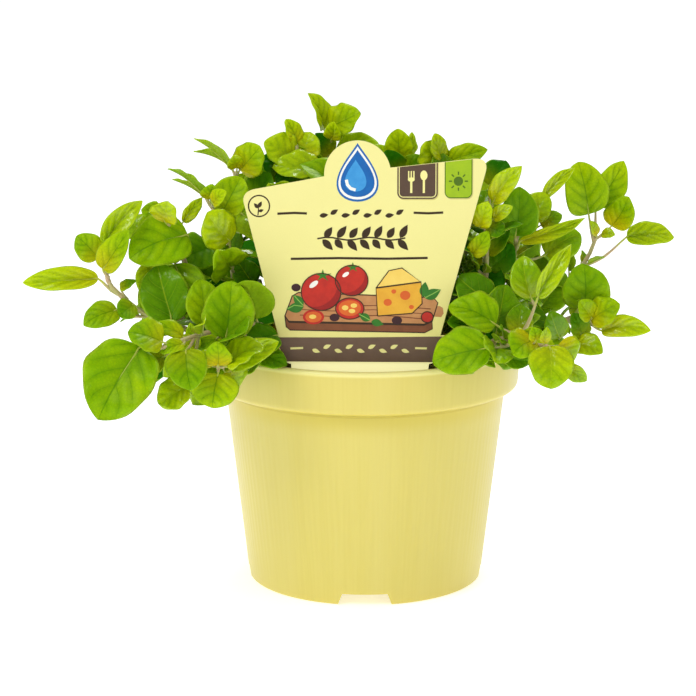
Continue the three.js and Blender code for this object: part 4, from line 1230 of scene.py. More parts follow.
# Small young leaves along the stems
TUFT_SEEDS = 9000
TUFT_SEED_STEP = 97
GROWN_TUFTS = (0.2, 0.3, 0.4, 0.5, 0.58, 0.66, 0.74, 0.82, 0.9, 0.96)
LAID_TUFTS = (0.22, 0.34, 0.45, 0.55, 0.64, 0.73, 0.82)
GROWN_TUFT_LENGTH = (6, 11)
LAID_TUFT_LENGTH = (6, 8)
TUFT_FACE_OUT = 0.6
TUFT_FACE_UP = Vector((0, 0, 0.8))
TUFT_TURN = 1.9
TUFT_TURN_BY_DRAW = 2
TUFT_LIFT = (0.6, 0.7)
TUFT_PETIOLE = (1.5, 2)
TUFT_WIDTH = (0.55, 0.2)
TUFT_FOLD = (16, 10)
TUFT_ROLL_SWAY = (30, 0.5)
FIRST_TUFT_PICK = 40
PICKS_A_TUFT = 9

# How the draws of a shoot's leaves are told apart, and the tone of a stem's tip
SHOOT_SPREAD = 7
LEAF_STEP = 13
STEM_TIP_TONE = 0.5

# From this share of its length a stem has no small young leaves
BARE_TIPS = {"shoot_far_left": 0.8}

# The room that the card takes: half its width at its foot and what each mm of height adds to it, and how
# far it reaches down and up
CARD_HALF = (33, 0.27)
CARD_REACH = (-14, 84)
CARD_CLEARANCE = 1

# A small leaf's middle line, a little longer at both ends, mustn't go through a blade
CROSSING = (-0.3, 1.2)
PARALLEL = 1e-6

# Attributes that only the growth tree needs
HELPERS = (
    "base", "axis", "side", "over", "size", "form", "curl", "girth",
    "is_blade", "is_small", "is_leaf", "is_hair",
)


def leafy_shoot_tree():
    """Grows blades on points that carry their axes, tubes on lines that carry a girth, hairs on both."""
    g = Growth(
        "Leafy shoot", Steps_along="Int", Steps_across="Int", Relief="Float", Blade_thickness="Float",
        Hair_density="Float", Hair_length="Float", Seed="Int",
        Leaf="Material", Stem="Material", Hair="Material",
    )
    points = g.given("Geometry")

    wide = blades_on(g, points, "is_blade", g.given("Steps along"), g.given("Steps across"))
    small = blades_on(g, points, "is_small", *SMALL_STEPS)
    blades = g.add("GeometryNodeJoinGeometry", inputs={0: [wide, small]})
    blades = g.add("GeometryNodeSetPosition", inputs={0: blades, "Position": blade_place(g)})

    lines = g.add("GeometryNodeMeshToCurve", inputs={0: points})
    lines = g.add("GeometryNodeCurveSplineType", {"spline_type": "CATMULL_ROM"}, {0: lines})
    lines = g.add("GeometryNodeSetSplineResolution", inputs={0: lines, "Resolution": TUBE_STEPS})
    section = g.add("GeometryNodeCurvePrimitiveCircle", inputs={"Resolution": TUBE_SIDES, "Radius": 1.0})
    girth = g.named("girth", "FLOAT")
    inputs = {"Curve": lines, "Profile Curve": section, "Scale": girth, "Fill Caps": True}
    tubes = g.add("GeometryNodeCurveToMesh", inputs=inputs)

    plant = g.add("GeometryNodeJoinGeometry", inputs={0: [blades, tubes]})
    plant = g.add("GeometryNodeSetShadeSmooth", inputs={0: plant})
    inputs = {"Mesh": plant, "Density": g.given("Hair density"), "Seed": g.given("Seed")}
    roots = g.add("GeometryNodeDistributePointsOnFaces", inputs=inputs)
    length = g.given("Hair length")
    sizes = {"Vertices": 3, "Radius Top": 0.0, "Radius Bottom": length * HAIR_TAPER, "Depth": length}
    hair = g.add("GeometryNodeMeshCone", {"fill_type": "NGON"}, sizes)
    hair = g.store(hair, "is_hair", True, "BOOLEAN")
    least, most = HAIR_SIZES
    scale = g.add("FunctionNodeRandomValue", inputs={2: least, 3: most, "Seed": g.given("Seed")}, output=1)
    inputs = {"Points": roots, "Instance": hair, "Rotation": roots.other("Rotation"), "Scale": scale}
    hairs = g.add("GeometryNodeInstanceOnPoints", inputs=inputs)
    everything = g.add("GeometryNodeJoinGeometry", inputs={0: [plant, hairs]})
    return g.done(
        everything, (g.given("Stem"), None), (g.given("Leaf"), g.named("is_leaf", "BOOLEAN")),
        (g.given("Hair"), g.named("is_hair", "BOOLEAN")),
    )


def blades_on(g, points, chosen, along_steps, across_steps):
    """A closed, flat blade of so many steps on each chosen point."""
    steps = {"Size X": 1.0, "Size Y": 1.0, "Vertices X": along_steps, "Vertices Y": across_steps}
    grid = g.add("GeometryNodeMeshGrid", inputs=steps)
    x, y, _ = g.add("GeometryNodeInputPosition").split()
    share = x + 0.5
    along = 0.5 - g.cosine(share * math.pi) * 0.5
    across = y * 2
    puff = (1 - across * across * across * across) * g.least(share * (1 - share) * 10, 1.0)
    top, bottom = (
        g.add("GeometryNodeSetPosition", inputs={0: grid, "Position": g.vector(along, across, face)})
        for face in (puff, puff * -1)
    )
    bottom = g.add("GeometryNodeFlipFaces", inputs={0: bottom})
    both = g.add("GeometryNodeJoinGeometry", inputs={0: [top, bottom]})
    blade = g.add("GeometryNodeMergeByDistance", inputs={0: both, "Distance": WELD})
    blade = g.store(blade, "blade", g.add("GeometryNodeInputPosition"))
    blade = g.store(blade, "is_leaf", True, "BOOLEAN")
    inputs = {"Points": points, "Selection": g.named(chosen, "BOOLEAN"), "Instance": blade}
    blades = g.add("GeometryNodeInstanceOnPoints", inputs=inputs)
    return g.add("GeometryNodeRealizeInstances", inputs={0: blades})


def waving(g, waves, along, across, chance):
    """A sine along a blade, skewed across it and shifted by the leaf's chance."""
    return g.sine(along * waves[0] + across * waves[1] + chance * waves[2])


def blade_place(g):
    """Where each point of a blade goes: outline, fold, quilting between veins, arch, twist and wavy rim."""
    along, across, face = g.named("blade").split()
    length, half_width, sharp = g.named("size").split()
    fold, arch, droop = g.named("form").split()
    cup, twist, wave = g.named("curl").split()
    chance, _, _ = g.named("tone").split()
    reach = abs(across)

    belly = along ** (BELLY_PLACE + chance * BELLY_SPREAD) * 2 - 1
    outline = g.root(g.greatest(1 - belly * belly, 0.0)) ** (1 + along * sharp)
    uneven = waving(g, UNEVEN_WAVES, along, across, chance) * UNEVEN_DEPTH + 1
    outline = g.greatest(outline * uneven, LEAST_OUTLINE)
    sideways = across * outline * half_width
    keel = half_width * KEEL
    bow = g.root(sideways * sideways + keel * keel) - keel
    lift = bow * g.sine(fold) + sideways * sideways / half_width * cup
    spread = sideways * g.cosine(fold)

    forward = vein_places(along, reach)
    quilt = 0.5 - g.cosine(forward * (2 * math.pi)) * 0.5
    quilt = quilt * (1 - reach * reach * reach) * g.step(reach, 0.0, 0.25)
    quilt = quilt * g.step(along, 0.0, 0.12) * (1 - g.step(along, 0.75, 0.95))
    groove = (1 - g.step(reach, 0.0, 0.16)) * (1 - along) * MIDRIB_GROOVE
    relief = (quilt - groove) * g.given("Relief") * length
    ruffle = waving(g, RUFFLE_WAVES, along, across, chance) * reach * reach * half_width * wave
    height = lift + relief + ruffle + face * g.given("Blade thickness") * 0.5

    bend = (chance - 0.5) * SIDE_BEND * length * along * (1 - along) * 4
    turn = twist * along
    sine, cosine = g.sine(turn), g.cosine(turn)
    rise = arch * length * along * (1 - along) * 4 - droop * length * along * along * along
    return (
        g.named("base") + g.named("axis") * (along * length)
        + g.named("side") * (bend + spread * cosine - height * sine)
        + g.named("over") * (spread * sine + height * cosine + rise)
    )


def exposure(point):
    """How far out in the bush a point is: 0 in its middle, 1 at its surface."""
    away = point - BUSH_MIDDLE
    reach = math.sqrt(sum((away[i] / BUSH_REACH[i]) ** 2 for i in range(3)))
    return min(reach, 1.0) ** INNER_SHADE


def swayed(limits, index):
    """A draw about the second of two numbers, times the first."""
    return limits[0] * (draw(index) - limits[1])


def leaf_light(leaf, seed):
    """How much light a leaf gets at its place in the bush."""
    light = exposure(leaf["base"].lerp(leaf["tip"], 0.5)) * ranged(LIGHT_BY_PLACE, leaf["share"])
    return light * ranged(LIGHT_BY_DRAW, draw(seed + 8))


def leaf_youth(leaf, length, seed):
    """How young a leaf is: 1 for the shortest at the tip of a stem, 0 for large or low ones."""
    youth = max(0.0, min(1.0, (GROWN_UP - length) / GROWING, leaf["share"] * 2 - 1))
    return youth * ranged(YOUTH_BY_DRAW, draw(seed + 1))


def leaf_sharpness(leaf, length, seed):
    """How pointed a leaf is: more so the narrower it is."""
    return max(LEAST_SHARP, ranged(SHARP_BY_WIDTH, leaf["width"] / length)) + SHARP_BY_DRAW * draw(seed + 7)


class ShootSource:
    """The points and lines that the growth tree reads, with their attributes."""

    VECTORS = ("base", "axis", "side", "over", "size", "form", "curl", "tone")
    KINDS = {"girth": "FLOAT", "is_blade": "BOOLEAN", "is_small": "BOOLEAN"}

    def __init__(self):
        self.points = []
        self.edges = []
        self.values = {name: [] for name in (*self.VECTORS, *self.KINDS)}

    def add_point(self, place, girth=0.0, blade=None, **vectors):
        """A point with its attributes; a blade is either wide or small."""
        self.points.append(place * MM)
        for name in self.VECTORS:
            self.values[name].append(tuple(vectors.get(name, (0, 0, 0))))
        self.values["girth"].append(girth * MM)
        self.values["is_blade"].append(blade == "wide")
        self.values["is_small"].append(blade == "small")

    def add_line(self, places, girths, tones):
        """A line of points for a tube."""
        start = len(self.points)
        for place, girth, tone in zip(places, girths, tones):
            self.add_point(place, girth, tone=tone)
        self.edges += [(i, i + 1) for i in range(start, len(self.points) - 1)]

    def add_leaf(self, leaf, seed, size):
        """A blade, with its petiole and midrib as one tapering line."""
        axis, side, normal, length = leaf_axes(leaf)
        chance = leaf.get("chance", draw(seed))
        light = leaf.get("light", leaf_light(leaf, seed))
        youth = leaf.get("youth", leaf_youth(leaf, length, seed))
        sharp = leaf.get("sharp", leaf_sharpness(leaf, length, seed))
        fold = leaf["fold"] if leaf["fold"] >= FLAT_FOLD else ranged(SOFT_FOLD, draw(seed + 2))
        droop = swayed(DROOP_SWAY, seed + 3)
        cup, twist = swayed(CUP_SWAY, seed + 4), swayed(TWIST_SWAY, seed + 5)
        wave = ranged(WAVE_BY_DRAW, draw(seed + 6))
        self.add_point(
            leaf["base"], blade=size, base=leaf["base"] * MM, axis=axis, side=-side, over=normal,
            size=(length * MM, leaf["width"] / 2 * MM, sharp), form=(math.radians(fold), LEAF_ARCH, droop),
            curl=(cup, twist, wave), tone=(chance, light, youth),
        )

        sag = STALK_SAG * (leaf["base"] - leaf["root"]).length
        thick = ranged(STALK_GIRTH, length)
        places = [leaf["root"], leaf["root"].lerp(leaf["base"], 0.5) + sag]
        girths = [thick * STALK_FOOT, thick]
        for along in MIDRIB_PLACES:
            girth = thick * ranged(MIDRIB_GIRTH, along)
            rise = LEAF_ARCH * 4 * along * (1 - along) - droop * along**3
            drop = girth * min(1, MIDRIB_SINK * along) * MIDRIB_DROP
            bend = (chance - 0.5) * SIDE_BEND * length * along * (1 - along) * 4
            centre = leaf["base"] + axis * (along * length) - side * bend
            places.append(centre + normal * (rise * length - drop))
            girths.append(girth)
        tones = [(chance, light, ranged(STALK_TONE, youth))] * 2
        self.add_line(places, girths, tones + [(chance, light, MIDRIB_TONE)] * len(MIDRIB_PLACES))

    def mesh(self, name):
        """The points and lines as a mesh with attributes."""
        mesh = bpy.data.meshes.new(name)
        mesh.from_pydata(self.points, self.edges, [])
        for key, values in self.values.items():
            kind = self.KINDS.get(key, "FLOAT_VECTOR")
            layer = mesh.attributes.new(key, kind, "POINT")
            if kind == "FLOAT_VECTOR":
                layer.data.foreach_set("vector", [n for value in values for n in value])
            else:
                layer.data.foreach_set("value", values)
        return mesh


def tuft_leaves(path, seed, grown):
    """Small young leaves in the axils along a stem, where side shoots are starting."""
    leaves = []
    outward = Vector((path[-1].x, path[-1].y, 0)).normalized()
    face = (outward * TUFT_FACE_OUT + TUFT_FACE_UP).normalized()
    places = GROWN_TUFTS if grown else LAID_TUFTS
    lengths = GROWN_TUFT_LENGTH if grown else LAID_TUFT_LENGTH
    for number, place in enumerate(places):
        point, direction = along_stem(path, place)
        turn = number * TUFT_TURN + draw(seed + number) * TUFT_TURN_BY_DRAW
        flat = Matrix.Rotation(turn, 3, direction) @ direction.cross(FLAT_WAY).normalized()
        for half in (-1, 1):
            pick = seed + FIRST_TUFT_PICK + number * PICKS_A_TUFT + half * PICKS_A_LEAF
            length = ranged(lengths, draw(pick))
            way = (flat * half + direction * ranged(TUFT_LIFT, draw(pick + 1))).normalized()
            petiole = ranged(TUFT_PETIOLE, draw(pick + 2))
            width = length * ranged(TUFT_WIDTH, draw(pick + 3))
            roll, fold = swayed(TUFT_ROLL_SWAY, pick + 4), ranged(TUFT_FOLD, draw(pick + 5))
            leaves.append(leaf_on(point, way, petiole, petiole + length, width, fold, face, place, roll))
    return leaves


def clear_of_card(leaf):
    """Whether a leaf keeps behind the card, or beside it."""
    half_leaf = leaf["width"] / 2
    for share in (0, 0.5, 1):
        away = leaf["base"].lerp(leaf["tip"], share) - LABEL_FOOT
        height = away.dot(CARD_UP)
        in_front = away.dot(CARD_OUT) > -half_leaf - CARD_CLEARANCE
        level = CARD_REACH[0] < height < CARD_REACH[1]
        if in_front and level and abs(away.x) < ranged(CARD_HALF, height) + half_leaf:
            return False
    return True


def crosses(leaf, blade):
    """Whether a small leaf's middle line goes through a blade."""
    axis, side, normal, length = leaf_axes(blade)
    start = leaf["base"] - blade["base"]
    way = leaf["tip"] - leaf["base"]
    slope = way.dot(normal)
    if abs(slope) < PARALLEL:
        return False
    share = -start.dot(normal) / slope
    spot = start + way * share
    inside = 0 < spot.dot(axis) < length and abs(spot.dot(side)) < blade["width"] / 2
    return CROSSING[0] < share < CROSSING[1] and inside


def shoot_source(path, leaves, shoot, number, blades, bare_from):
    """Everything that one shoot grows from; blades are the leaves that its small leaves keep clear of."""
    source = ShootSource()
    seed = TUFT_SEEDS + number * TUFT_SEED_STEP
    count = len(path)
    girths = [STEM_GIRTH * stem_radius(i, count) for i in range(count)]
    tones = [(draw(seed), exposure(point), STEM_TIP_TONE * i / (count - 1)) for i, point in enumerate(path)]
    source.add_line(path, girths, tones)
    tufts = [leaf for leaf in tuft_leaves(path, seed, "grown" in shoot) if leaf["share"] < bare_from]
    tufts = [leaf for leaf in tufts if clear_of_card(leaf)]
    tufts = [leaf for leaf in tufts if not any(crosses(leaf, blade) for blade in blades)]
    for i, leaf in enumerate(leaves + tufts):
        size = "wide" if i < len(leaves) else "small"
        source.add_leaf(leaf, seed * SHOOT_SPREAD + i * LEAF_STEP, size)
    return source.mesh("shoot")


def build_shoots(plant):
    """A leafy piece for each shoot's node."""
    tree = leafy_shoot_tree()
    finishes = {"Leaf": leaf_finish(plant), "Stem": stem_finish(plant), "Hair": hair_finish(plant)}
    shoots = all_shoots()
    read = {name: read_shoot(name, shoot) for name, shoot in shoots.items()}
    blades = [leaf for _, leaves in read.values() for leaf in leaves if leaf["width"] > SMALL_LEAF]
    for number, (name, shoot) in enumerate(shoots.items()):
        steps = GROWN_STEPS if "grown" in shoot else LAID_STEPS
        values = {
            "Steps along": steps[0], "Steps across": steps[1], "Relief": plant.vein_relief,
            "Blade thickness": plant.blade_thickness, "Hair density": plant.hair_density,
            "Hair length": plant.hair_length, "Seed": number, **finishes,
        }
        source = shoot_source(*read[name], shoot, number, blades, BARE_TIPS.get(name, 1))
        piece = grow(tree, source, name + "_foliage", values)
        for layer in [each.name for each in piece.data.attributes if each.name in HELPERS]:
            piece.data.attributes.remove(piece.data.attributes[layer])
        join_frame(piece, "foliage", name)


# ---------------------------------------------------------------- pot

POT_TURNS = 480
FLUTE_COUNT = 120
ARC_STEPS = 5
LONGEST_STRETCH = 9.0
MOST_CUT = 0.49
SHARP_ANGLE = math.radians(38)
FLUTE_DEPTH = 0.09
FLUTE_SLACK = 0.6
FLUTE_FOOT = 6
FLUTE_HEAD = COLLAR_FOOT - 3
FLUTE_FOOT_FADE = 8
FLUTE_HEAD_FADE = 5
NOTCH_OUTER = FOOT_RADIUS + 1.7
CUT_BELOW = -1
DRAIN_CUT = 6
DRAIN_SIDES = 32
BOX_FACES = ((0, 1, 3, 2), (4, 6, 7, 5), (0, 4, 5, 1), (2, 3, 7, 6), (0, 2, 6, 4), (1, 5, 7, 3))

# Corners of the wall's section: radius, height and how round the corner is
POT_CORNERS = (
    (FOOT_RING_INNER - 1.5, FLOOR_LIFT, 0.8), (FOOT_RING_INNER, 0, 0.5), (FOOT_RADIUS, 0, 1.3),
    (NECK_RADIUS, COLLAR_FOOT, 0.7), (RIM_RADIUS - 1.1, COLLAR_FOOT + 1.6, 2.6),
    (RIM_RADIUS, POT_HEIGHT, 1.4), (RIM_RADIUS - LIP_WIDTH, POT_HEIGHT, 1.0),
    (RIM_RADIUS - LIP_WIDTH + 0.2, POT_HEIGHT - 2.4, 0.5), (RIM_RADIUS - WALL - 0.5, POT_HEIGHT - 3.4, 0.6),
    (RIM_RADIUS - WALL - 1.2, COLLAR_FOOT + 4.8, 1.5), (NECK_RADIUS - WALL - 0.1, COLLAR_FOOT - 0.2, 1.5),
    (FOOT_RADIUS - WALL + 0.4, FLOOR_TOP, 2.0),
)


def closed_mesh(bm, name):
    """A mesh of what has been modelled, with all its faces turned outwards."""
    bmesh.ops.recalc_face_normals(bm, faces=bm.faces)
    mesh = bpy.data.meshes.new(name)
    bm.to_mesh(mesh)
    bm.free()
    return mesh


def round_pairs(count):
    """Each number below the count, with the next one round."""
    return [(i, (i + 1) % count) for i in range(count)]


def bent(start, control, end, t):
    """The point at a share t of a curve from start to end that is drawn towards a control point."""
    return start * (1 - t) ** 2 + control * 2 * t * (1 - t) + end * t**2


def rounded(corners, steps):
    """A path through corners, each rounded with an arc of its own radius."""
    path = []
    last = len(corners) - 1
    for i, (x, y, radius) in enumerate(corners):
        here = Vector((x, y))
        if i in (0, last) or radius == 0:
            path.append(here)
            continue
        before = Vector(corners[i - 1][:2]) - here
        after = Vector(corners[i + 1][:2]) - here
        half = before.angle(after) / 2
        cut = min(radius / math.tan(half), before.length * MOST_CUT, after.length * MOST_CUT)
        start, end = here + before.normalized() * cut, here + after.normalized() * cut
        path += [bent(start, here, end, k / steps) for k in range(steps + 1)]
    return path


def subdivided(path, longest):
    """The same path with its long stretches divided."""
    fine = [path[0]]
    for a, b in zip(path, path[1:]):
        parts = max(1, math.ceil((b - a).length / longest))
        fine += [a.lerp(b, k / parts) for k in range(1, parts + 1)]
    return fine


def flute(radius, height, angle):
    """The wall's radius with its faint upright flutes, which fade out at both ends."""
    wall = FOOT_RADIUS + (NECK_RADIUS - FOOT_RADIUS) * height / COLLAR_FOOT
    if abs(radius - wall) > FLUTE_SLACK or not FLUTE_FOOT < height < FLUTE_HEAD:
        return radius
    fade = min(1, (height - FLUTE_FOOT) / FLUTE_FOOT_FADE, (FLUTE_HEAD - height) / FLUTE_HEAD_FADE)
    return radius - FLUTE_DEPTH * fade * (0.5 - 0.5 * math.cos(FLUTE_COUNT * angle))


def lathe(bm, path, turns):
    """A closed turned body whose path starts and ends on the axis' discs."""
    rings = []
    for point in path:
        ring = []
        for k in range(turns):
            angle = 2 * math.pi * k / turns
            radius = flute(point.x, point.y, angle)
            place = (radius * math.cos(angle) * MM, radius * math.sin(angle) * MM, point.y * MM)
            ring.append(bm.verts.new(place))
        rings.append(ring)
    for low, high in zip(rings, rings[1:]):
        for k, after in round_pairs(turns):
            bm.faces.new((low[k], low[after], high[after], high[k]))
    for ring, flip in ((rings[0], True), (rings[-1], False)):
        centre = bm.verts.new((0, 0, ring[0].co.z))
        for k, after in round_pairs(turns):
            bm.faces.new((centre, ring[after], ring[k]) if flip else (centre, ring[k], ring[after]))


def notch_cutter():
    """The tapered notches in the foot ring and the round drain holes, as one mesh."""
    bm = bmesh.new()
    for i in range(NOTCH_COUNT):
        turn = Matrix.Rotation(2 * math.pi * i / NOTCH_COUNT - math.pi / 2, 3, "Z")
        corners = []
        for out in (NOTCH_OUTER - NOTCH_DEPTH, NOTCH_OUTER):
            for half, height in ((NOTCH_FOOT_WIDTH / 2, CUT_BELOW), (NOTCH_TOP_WIDTH / 2, FLOOR_LIFT)):
                corners += [turn @ Vector((out, way * half, height)) * MM for way in (-1, 1)]
        verts = [bm.verts.new(corner) for corner in corners]
        for face in BOX_FACES:
            bm.faces.new([verts[n] for n in face])
    for i in range(DRAIN_COUNT):
        angle = 2 * math.pi * (i + 0.5) / DRAIN_COUNT
        centre = Vector((math.cos(angle), math.sin(angle), 0)) * DRAIN_RING + Vector((0, 0, FLOOR_LIFT))
        bmesh.ops.create_cone(
            bm, cap_ends=True, segments=DRAIN_SIDES, radius1=DRAIN_RADIUS * MM, radius2=DRAIN_RADIUS * MM,
            depth=DRAIN_CUT * MM, matrix=Matrix.Translation(centre * MM),
        )
    return place_piece("cutter", closed_mesh(bm, "cutter"))


def build_pot(pot):
    """The turned pot with its notches and drain holes cut."""
    bm = bmesh.new()
    lathe(bm, subdivided(rounded(POT_CORNERS, ARC_STEPS), LONGEST_STRETCH), POT_TURNS)
    body = place_piece("pot_uncut", closed_mesh(bm, "pot_uncut"))
    cutter = notch_cutter()
    cut = body.modifiers.new("cut", "BOOLEAN")
    cut.operation = "DIFFERENCE"
    cut.solver = "EXACT"
    cut.object = cutter
    depsgraph = bpy.context.evaluated_depsgraph_get()
    shape = bpy.data.meshes.new_from_object(body.evaluated_get(depsgraph), depsgraph=depsgraph)
    shape.name = "pot_wall"
    bpy.data.objects.remove(body)
    bpy.data.objects.remove(cutter)
    shape.shade_smooth()
    shape.set_sharp_from_angle(angle=SHARP_ANGLE)
    shape.materials.clear()
    piece = place_piece("pot_wall", shape, pot_finish(pot))
    join_frame(piece, "pot_plastic", "pot")


# ---------------------------------------------------------------- soil

SOIL_SIDES = 64
CRUMB_LEAST = (0.35, 0.3, 0.25)
CRUMB_MOST = (1.3, 1.1, 0.9)
FULL_TURN = (6.3, 6.3, 6.3)
CRUMB_ROUGHNESS = 0.9
CRUMB_SEED = 3
CRUMB_RADIUS = NECK_RADIUS + 1.5
CRUMB_LEVEL = SOIL_LEVEL + 0.4


def soil_crumb_tree():
    """Scatters uneven crumbs over the soil's top."""
    g = Growth(
        "Soil crumbs", Radius="Float", Level="Float", Density="Float", Crumb="Float", Seed="Int",
        Peat="Material",
    )
    inputs = {"Vertices": SOIL_SIDES, "Radius": g.given("Radius")}
    level = g.add("GeometryNodeMeshCircle", {"fill_type": "NGON"}, inputs)
    lift = g.vector(0.0, 0.0, g.given("Level"))
    level = g.add("GeometryNodeTransform", inputs={"Geometry": level, "Translation": lift})
    inputs = {"Mesh": level, "Density": g.given("Density"), "Seed": g.given("Seed")}
    spots = g.add("GeometryNodeDistributePointsOnFaces", inputs=inputs)
    crumb = g.add("GeometryNodeMeshIcoSphere", inputs={"Radius": g.given("Crumb"), "Subdivisions": 1})
    limits = [(CRUMB_LEAST, CRUMB_MOST), ((0, 0, 0), FULL_TURN)]
    ranges = [{0: least, 1: most, "Seed": g.given("Seed")} for least, most in limits]
    scale, turn = (g.add("FunctionNodeRandomValue", {"data_type": "FLOAT_VECTOR"}, each) for each in ranges)
    inputs = {"Points": spots, "Instance": crumb, "Scale": scale, "Rotation": turn}
    crumbs = g.add("GeometryNodeInstanceOnPoints", inputs=inputs)
    crumbs = g.add("GeometryNodeRealizeInstances", inputs={0: crumbs})
    place = g.add("GeometryNodeInputPosition")
    rough = g.noise(place, scale=450, detail=2).other("Color")
    offset = (rough - 0.5) * (g.given("Crumb") * CRUMB_ROUGHNESS)
    crumbs = g.add("GeometryNodeSetPosition", inputs={0: crumbs, "Offset": offset})
    crumbs = g.add("GeometryNodeSetShadeSmooth", inputs={0: crumbs})
    return g.done(crumbs, (g.given("Peat"), None))


def build_soil(soil):
    """The soil's solid with a peat finish, and crumbs on its top."""
    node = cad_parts["soil"]
    node.data.materials.clear()
    node.data.materials.append(soil_finish(soil))
    values = {
        "Radius": CRUMB_RADIUS * MM, "Level": CRUMB_LEVEL * MM, "Density": soil.crumb_density,
        "Crumb": soil.crumb_size, "Seed": CRUMB_SEED, "Peat": soil_finish(soil, "soil_crumb", 0.1),
    }
    piece = grow(soil_crumb_tree(), bpy.data.meshes.new("crumbs"), "soil_crumbs", values)
    join_frame(piece, "soil")


# ---------------------------------------------------------------- label card and its print

CURVE_STEPS = 10
LOBE_ARC = (11, 184, 40)
DISC_STEPS = 28
MARK_STEPS = 9
MARK_BELLY = 0.8
DROP_STEPS = 40
DROP_BELLY = 0.66
DROP_POINT = 1.3
TAB_CORNER = 2.2
TAB_CORNER_STEPS = 6
TAB_GAP = 0.15
TOP_EDGE_START = (9.1, 71.8)
TOP_EDGE_SLOPE = 0.109
INK_SINK = 0.05
INK_STEP = 0.03

# The card's outline: the tongue with its right shoulder, the right side, the left side and the shoulder
TONGUE_RIGHT = ((-10, -36), (10, -36), (20, -12), (20, -9.5), (22.6, -6.5), (23.4, 0))
RIGHT_FOOT_CURVE = ((23.4, 0), (25.2, 0), (25.8, 2))
RIGHT_SIDE = ((29.5, 10.5), (27.6, 10.6), (43.9, 70.5))
RIGHT_TOP_CURVE = ((43.9, 70.5), (45, 75.6), (39.4, 75.1))
LEFT_TOP = (-39.3, 64.2)
LEFT_TOP_CURVE = (LEFT_TOP, (-45.4, 63.4), (-44.5, 59))
LEFT_SIDE = ((-31.9, 10.2), (-33.9, 10), (-29.8, 2))
LEFT_FOOT_CURVE = ((-29.8, 2), (-29, 0), (-27.2, 0))
TONGUE_LEFT = ((-27, -6.5), (-20, -9.5), (-20, -12))

# The print, in the card's plane, in millimetres. Tabs: left, right and foot
BAND = ((-28.9, 0.8), (24.6, 0.6), (29.1, 10.1), (-3, 9.7), (-33.4, 9.7))
BROWN_TAB = (11.6, 26.4, 60.4)
GREEN_TAB = (28.9, 39.0, 60.7)
TAB_SHADE = (0.3, -0.4)
GREEN_TAB_LINE = (0.0, 0.35)
BROWN_TAB_LINE = (0.55, 0.3)

# The sun: middle, radius and number of rays. Fork and spoon: their parts from the mark's middle
SUN = (33.9, 66.9, 1.7, 8)
SUN_RAY = (1.35, 2.05)
SUN_RAY_WIDTH = 0.5
CUTLERY = (19.0, 66.6)
CUTLERY_APART = 2.3
CUTLERY_WIDTH = 0.8
HANDLE_FOOT = -4
FORK_NECK = 0.8
FORK_BASE = (0.9, 1.25, 0.8)
TINES = (-0.95, 0, 0.95)
TINE_TOP = 4
TINE_WIDTH = 0.45
SPOON_NECK = 1
SPOON_BOWL = (2.4, 1.3, 1.8)

# Drops: middle, width and height
DROP_RIM = (LOBE_X, 70.1, 16.0, 21.4)
DROP_GAP = (LOBE_X, 69.9, 14.6, 19.4)
DROP = (LOBE_X, 69.7, 13.0, 17.2)
DROP_LIGHT = (LOBE_X - 0.7, 68.9, 8.2, 11.6)

# Lines: width, then their points
RULES = (
    (0.85, (-32.2, 55.0), (-26, 55.3), (-21.4, 55.1)),
    (0.85, (17.6, 55.4), (23, 55.2), (28.4, 55.5)),
    (0.85, (-27.3, 38.5), (-10, 38.8), (8, 38.6), (22.8, 38.9)),
)
SPRIG_STEM = ((0.4, (-39.3, 54.4), (-39.1, 56.2), (-39.1, 58.6)),)
BAND_RULES = ((0.75, (-27.5, 5.6), (-22.8, 5.8)), (0.75, (18.3, 5.8), (22.6, 5.7)))
GRAIN_LINES = (
    (0.35, (-24, 17.9), (-8, 17.3), (6, 17.9), (22, 16.5)),
    (0.35, (-22, 21.9), (-9, 21.3), (8, 21.5), (24, 20.2)),
    (0.3, (-26.5, 20.1), (-12, 19.4), (3, 19.9), (23, 18.3)),
)
HERB_VEINS = (
    (0.3, (-22.9, 21.1), (-26, 21.5), (-28.4, 20.3)), (0.3, (21.8, 24.3), (24.6, 25.7), (27.2, 27.2)),
    (0.3, (-22.9, 21.6), (-24.8, 23.6), (-26, 25)), (0.3, (1.7, 16.1), (-0.3, 17.2), (-2.2, 18.2)),
)
DROP_GLINT = ((1.1, (-7.0, 67.4), (-6.6, 65.6), (-5.4, 64.2), (-3.6, 63.7)),)
BOARD_LINE_WIDTH = 0.4
ITEM_LINE_WIDTH = 0.35

# Plain shapes by their corners
BOARD = (
    (-29.5, 17.5), (-28, 15.2), (21.5, 14.2), (24.5, 15.6), (26.6, 22.5), (24.9, 24.4), (-24.5, 26.2),
    (-26.8, 24.9),
)
HANDLE = ((25.2, 17.4), (27.8, 17.2), (28.7, 18.6), (28.4, 20.6), (27.2, 21.3), (26.0, 21.2))
BOARD_EDGE = (
    (-29.5, 17.6), (-29.0, 13.6), (-27.6, 12.4), (21.8, 11.5), (24.6, 12.9), (24.5, 15.8), (21.5, 14.6),
    (-28, 15.6),
)
WEDGE_SIDE = ((4.5, 17.6), (17.2, 18.6), (20.8, 22.2), (20.4, 30.2), (3.9, 28.0))
WEDGE_TOP = ((3.9, 27.8), (20.4, 30.0), (13.4, 35.2), (8.6, 34.2))

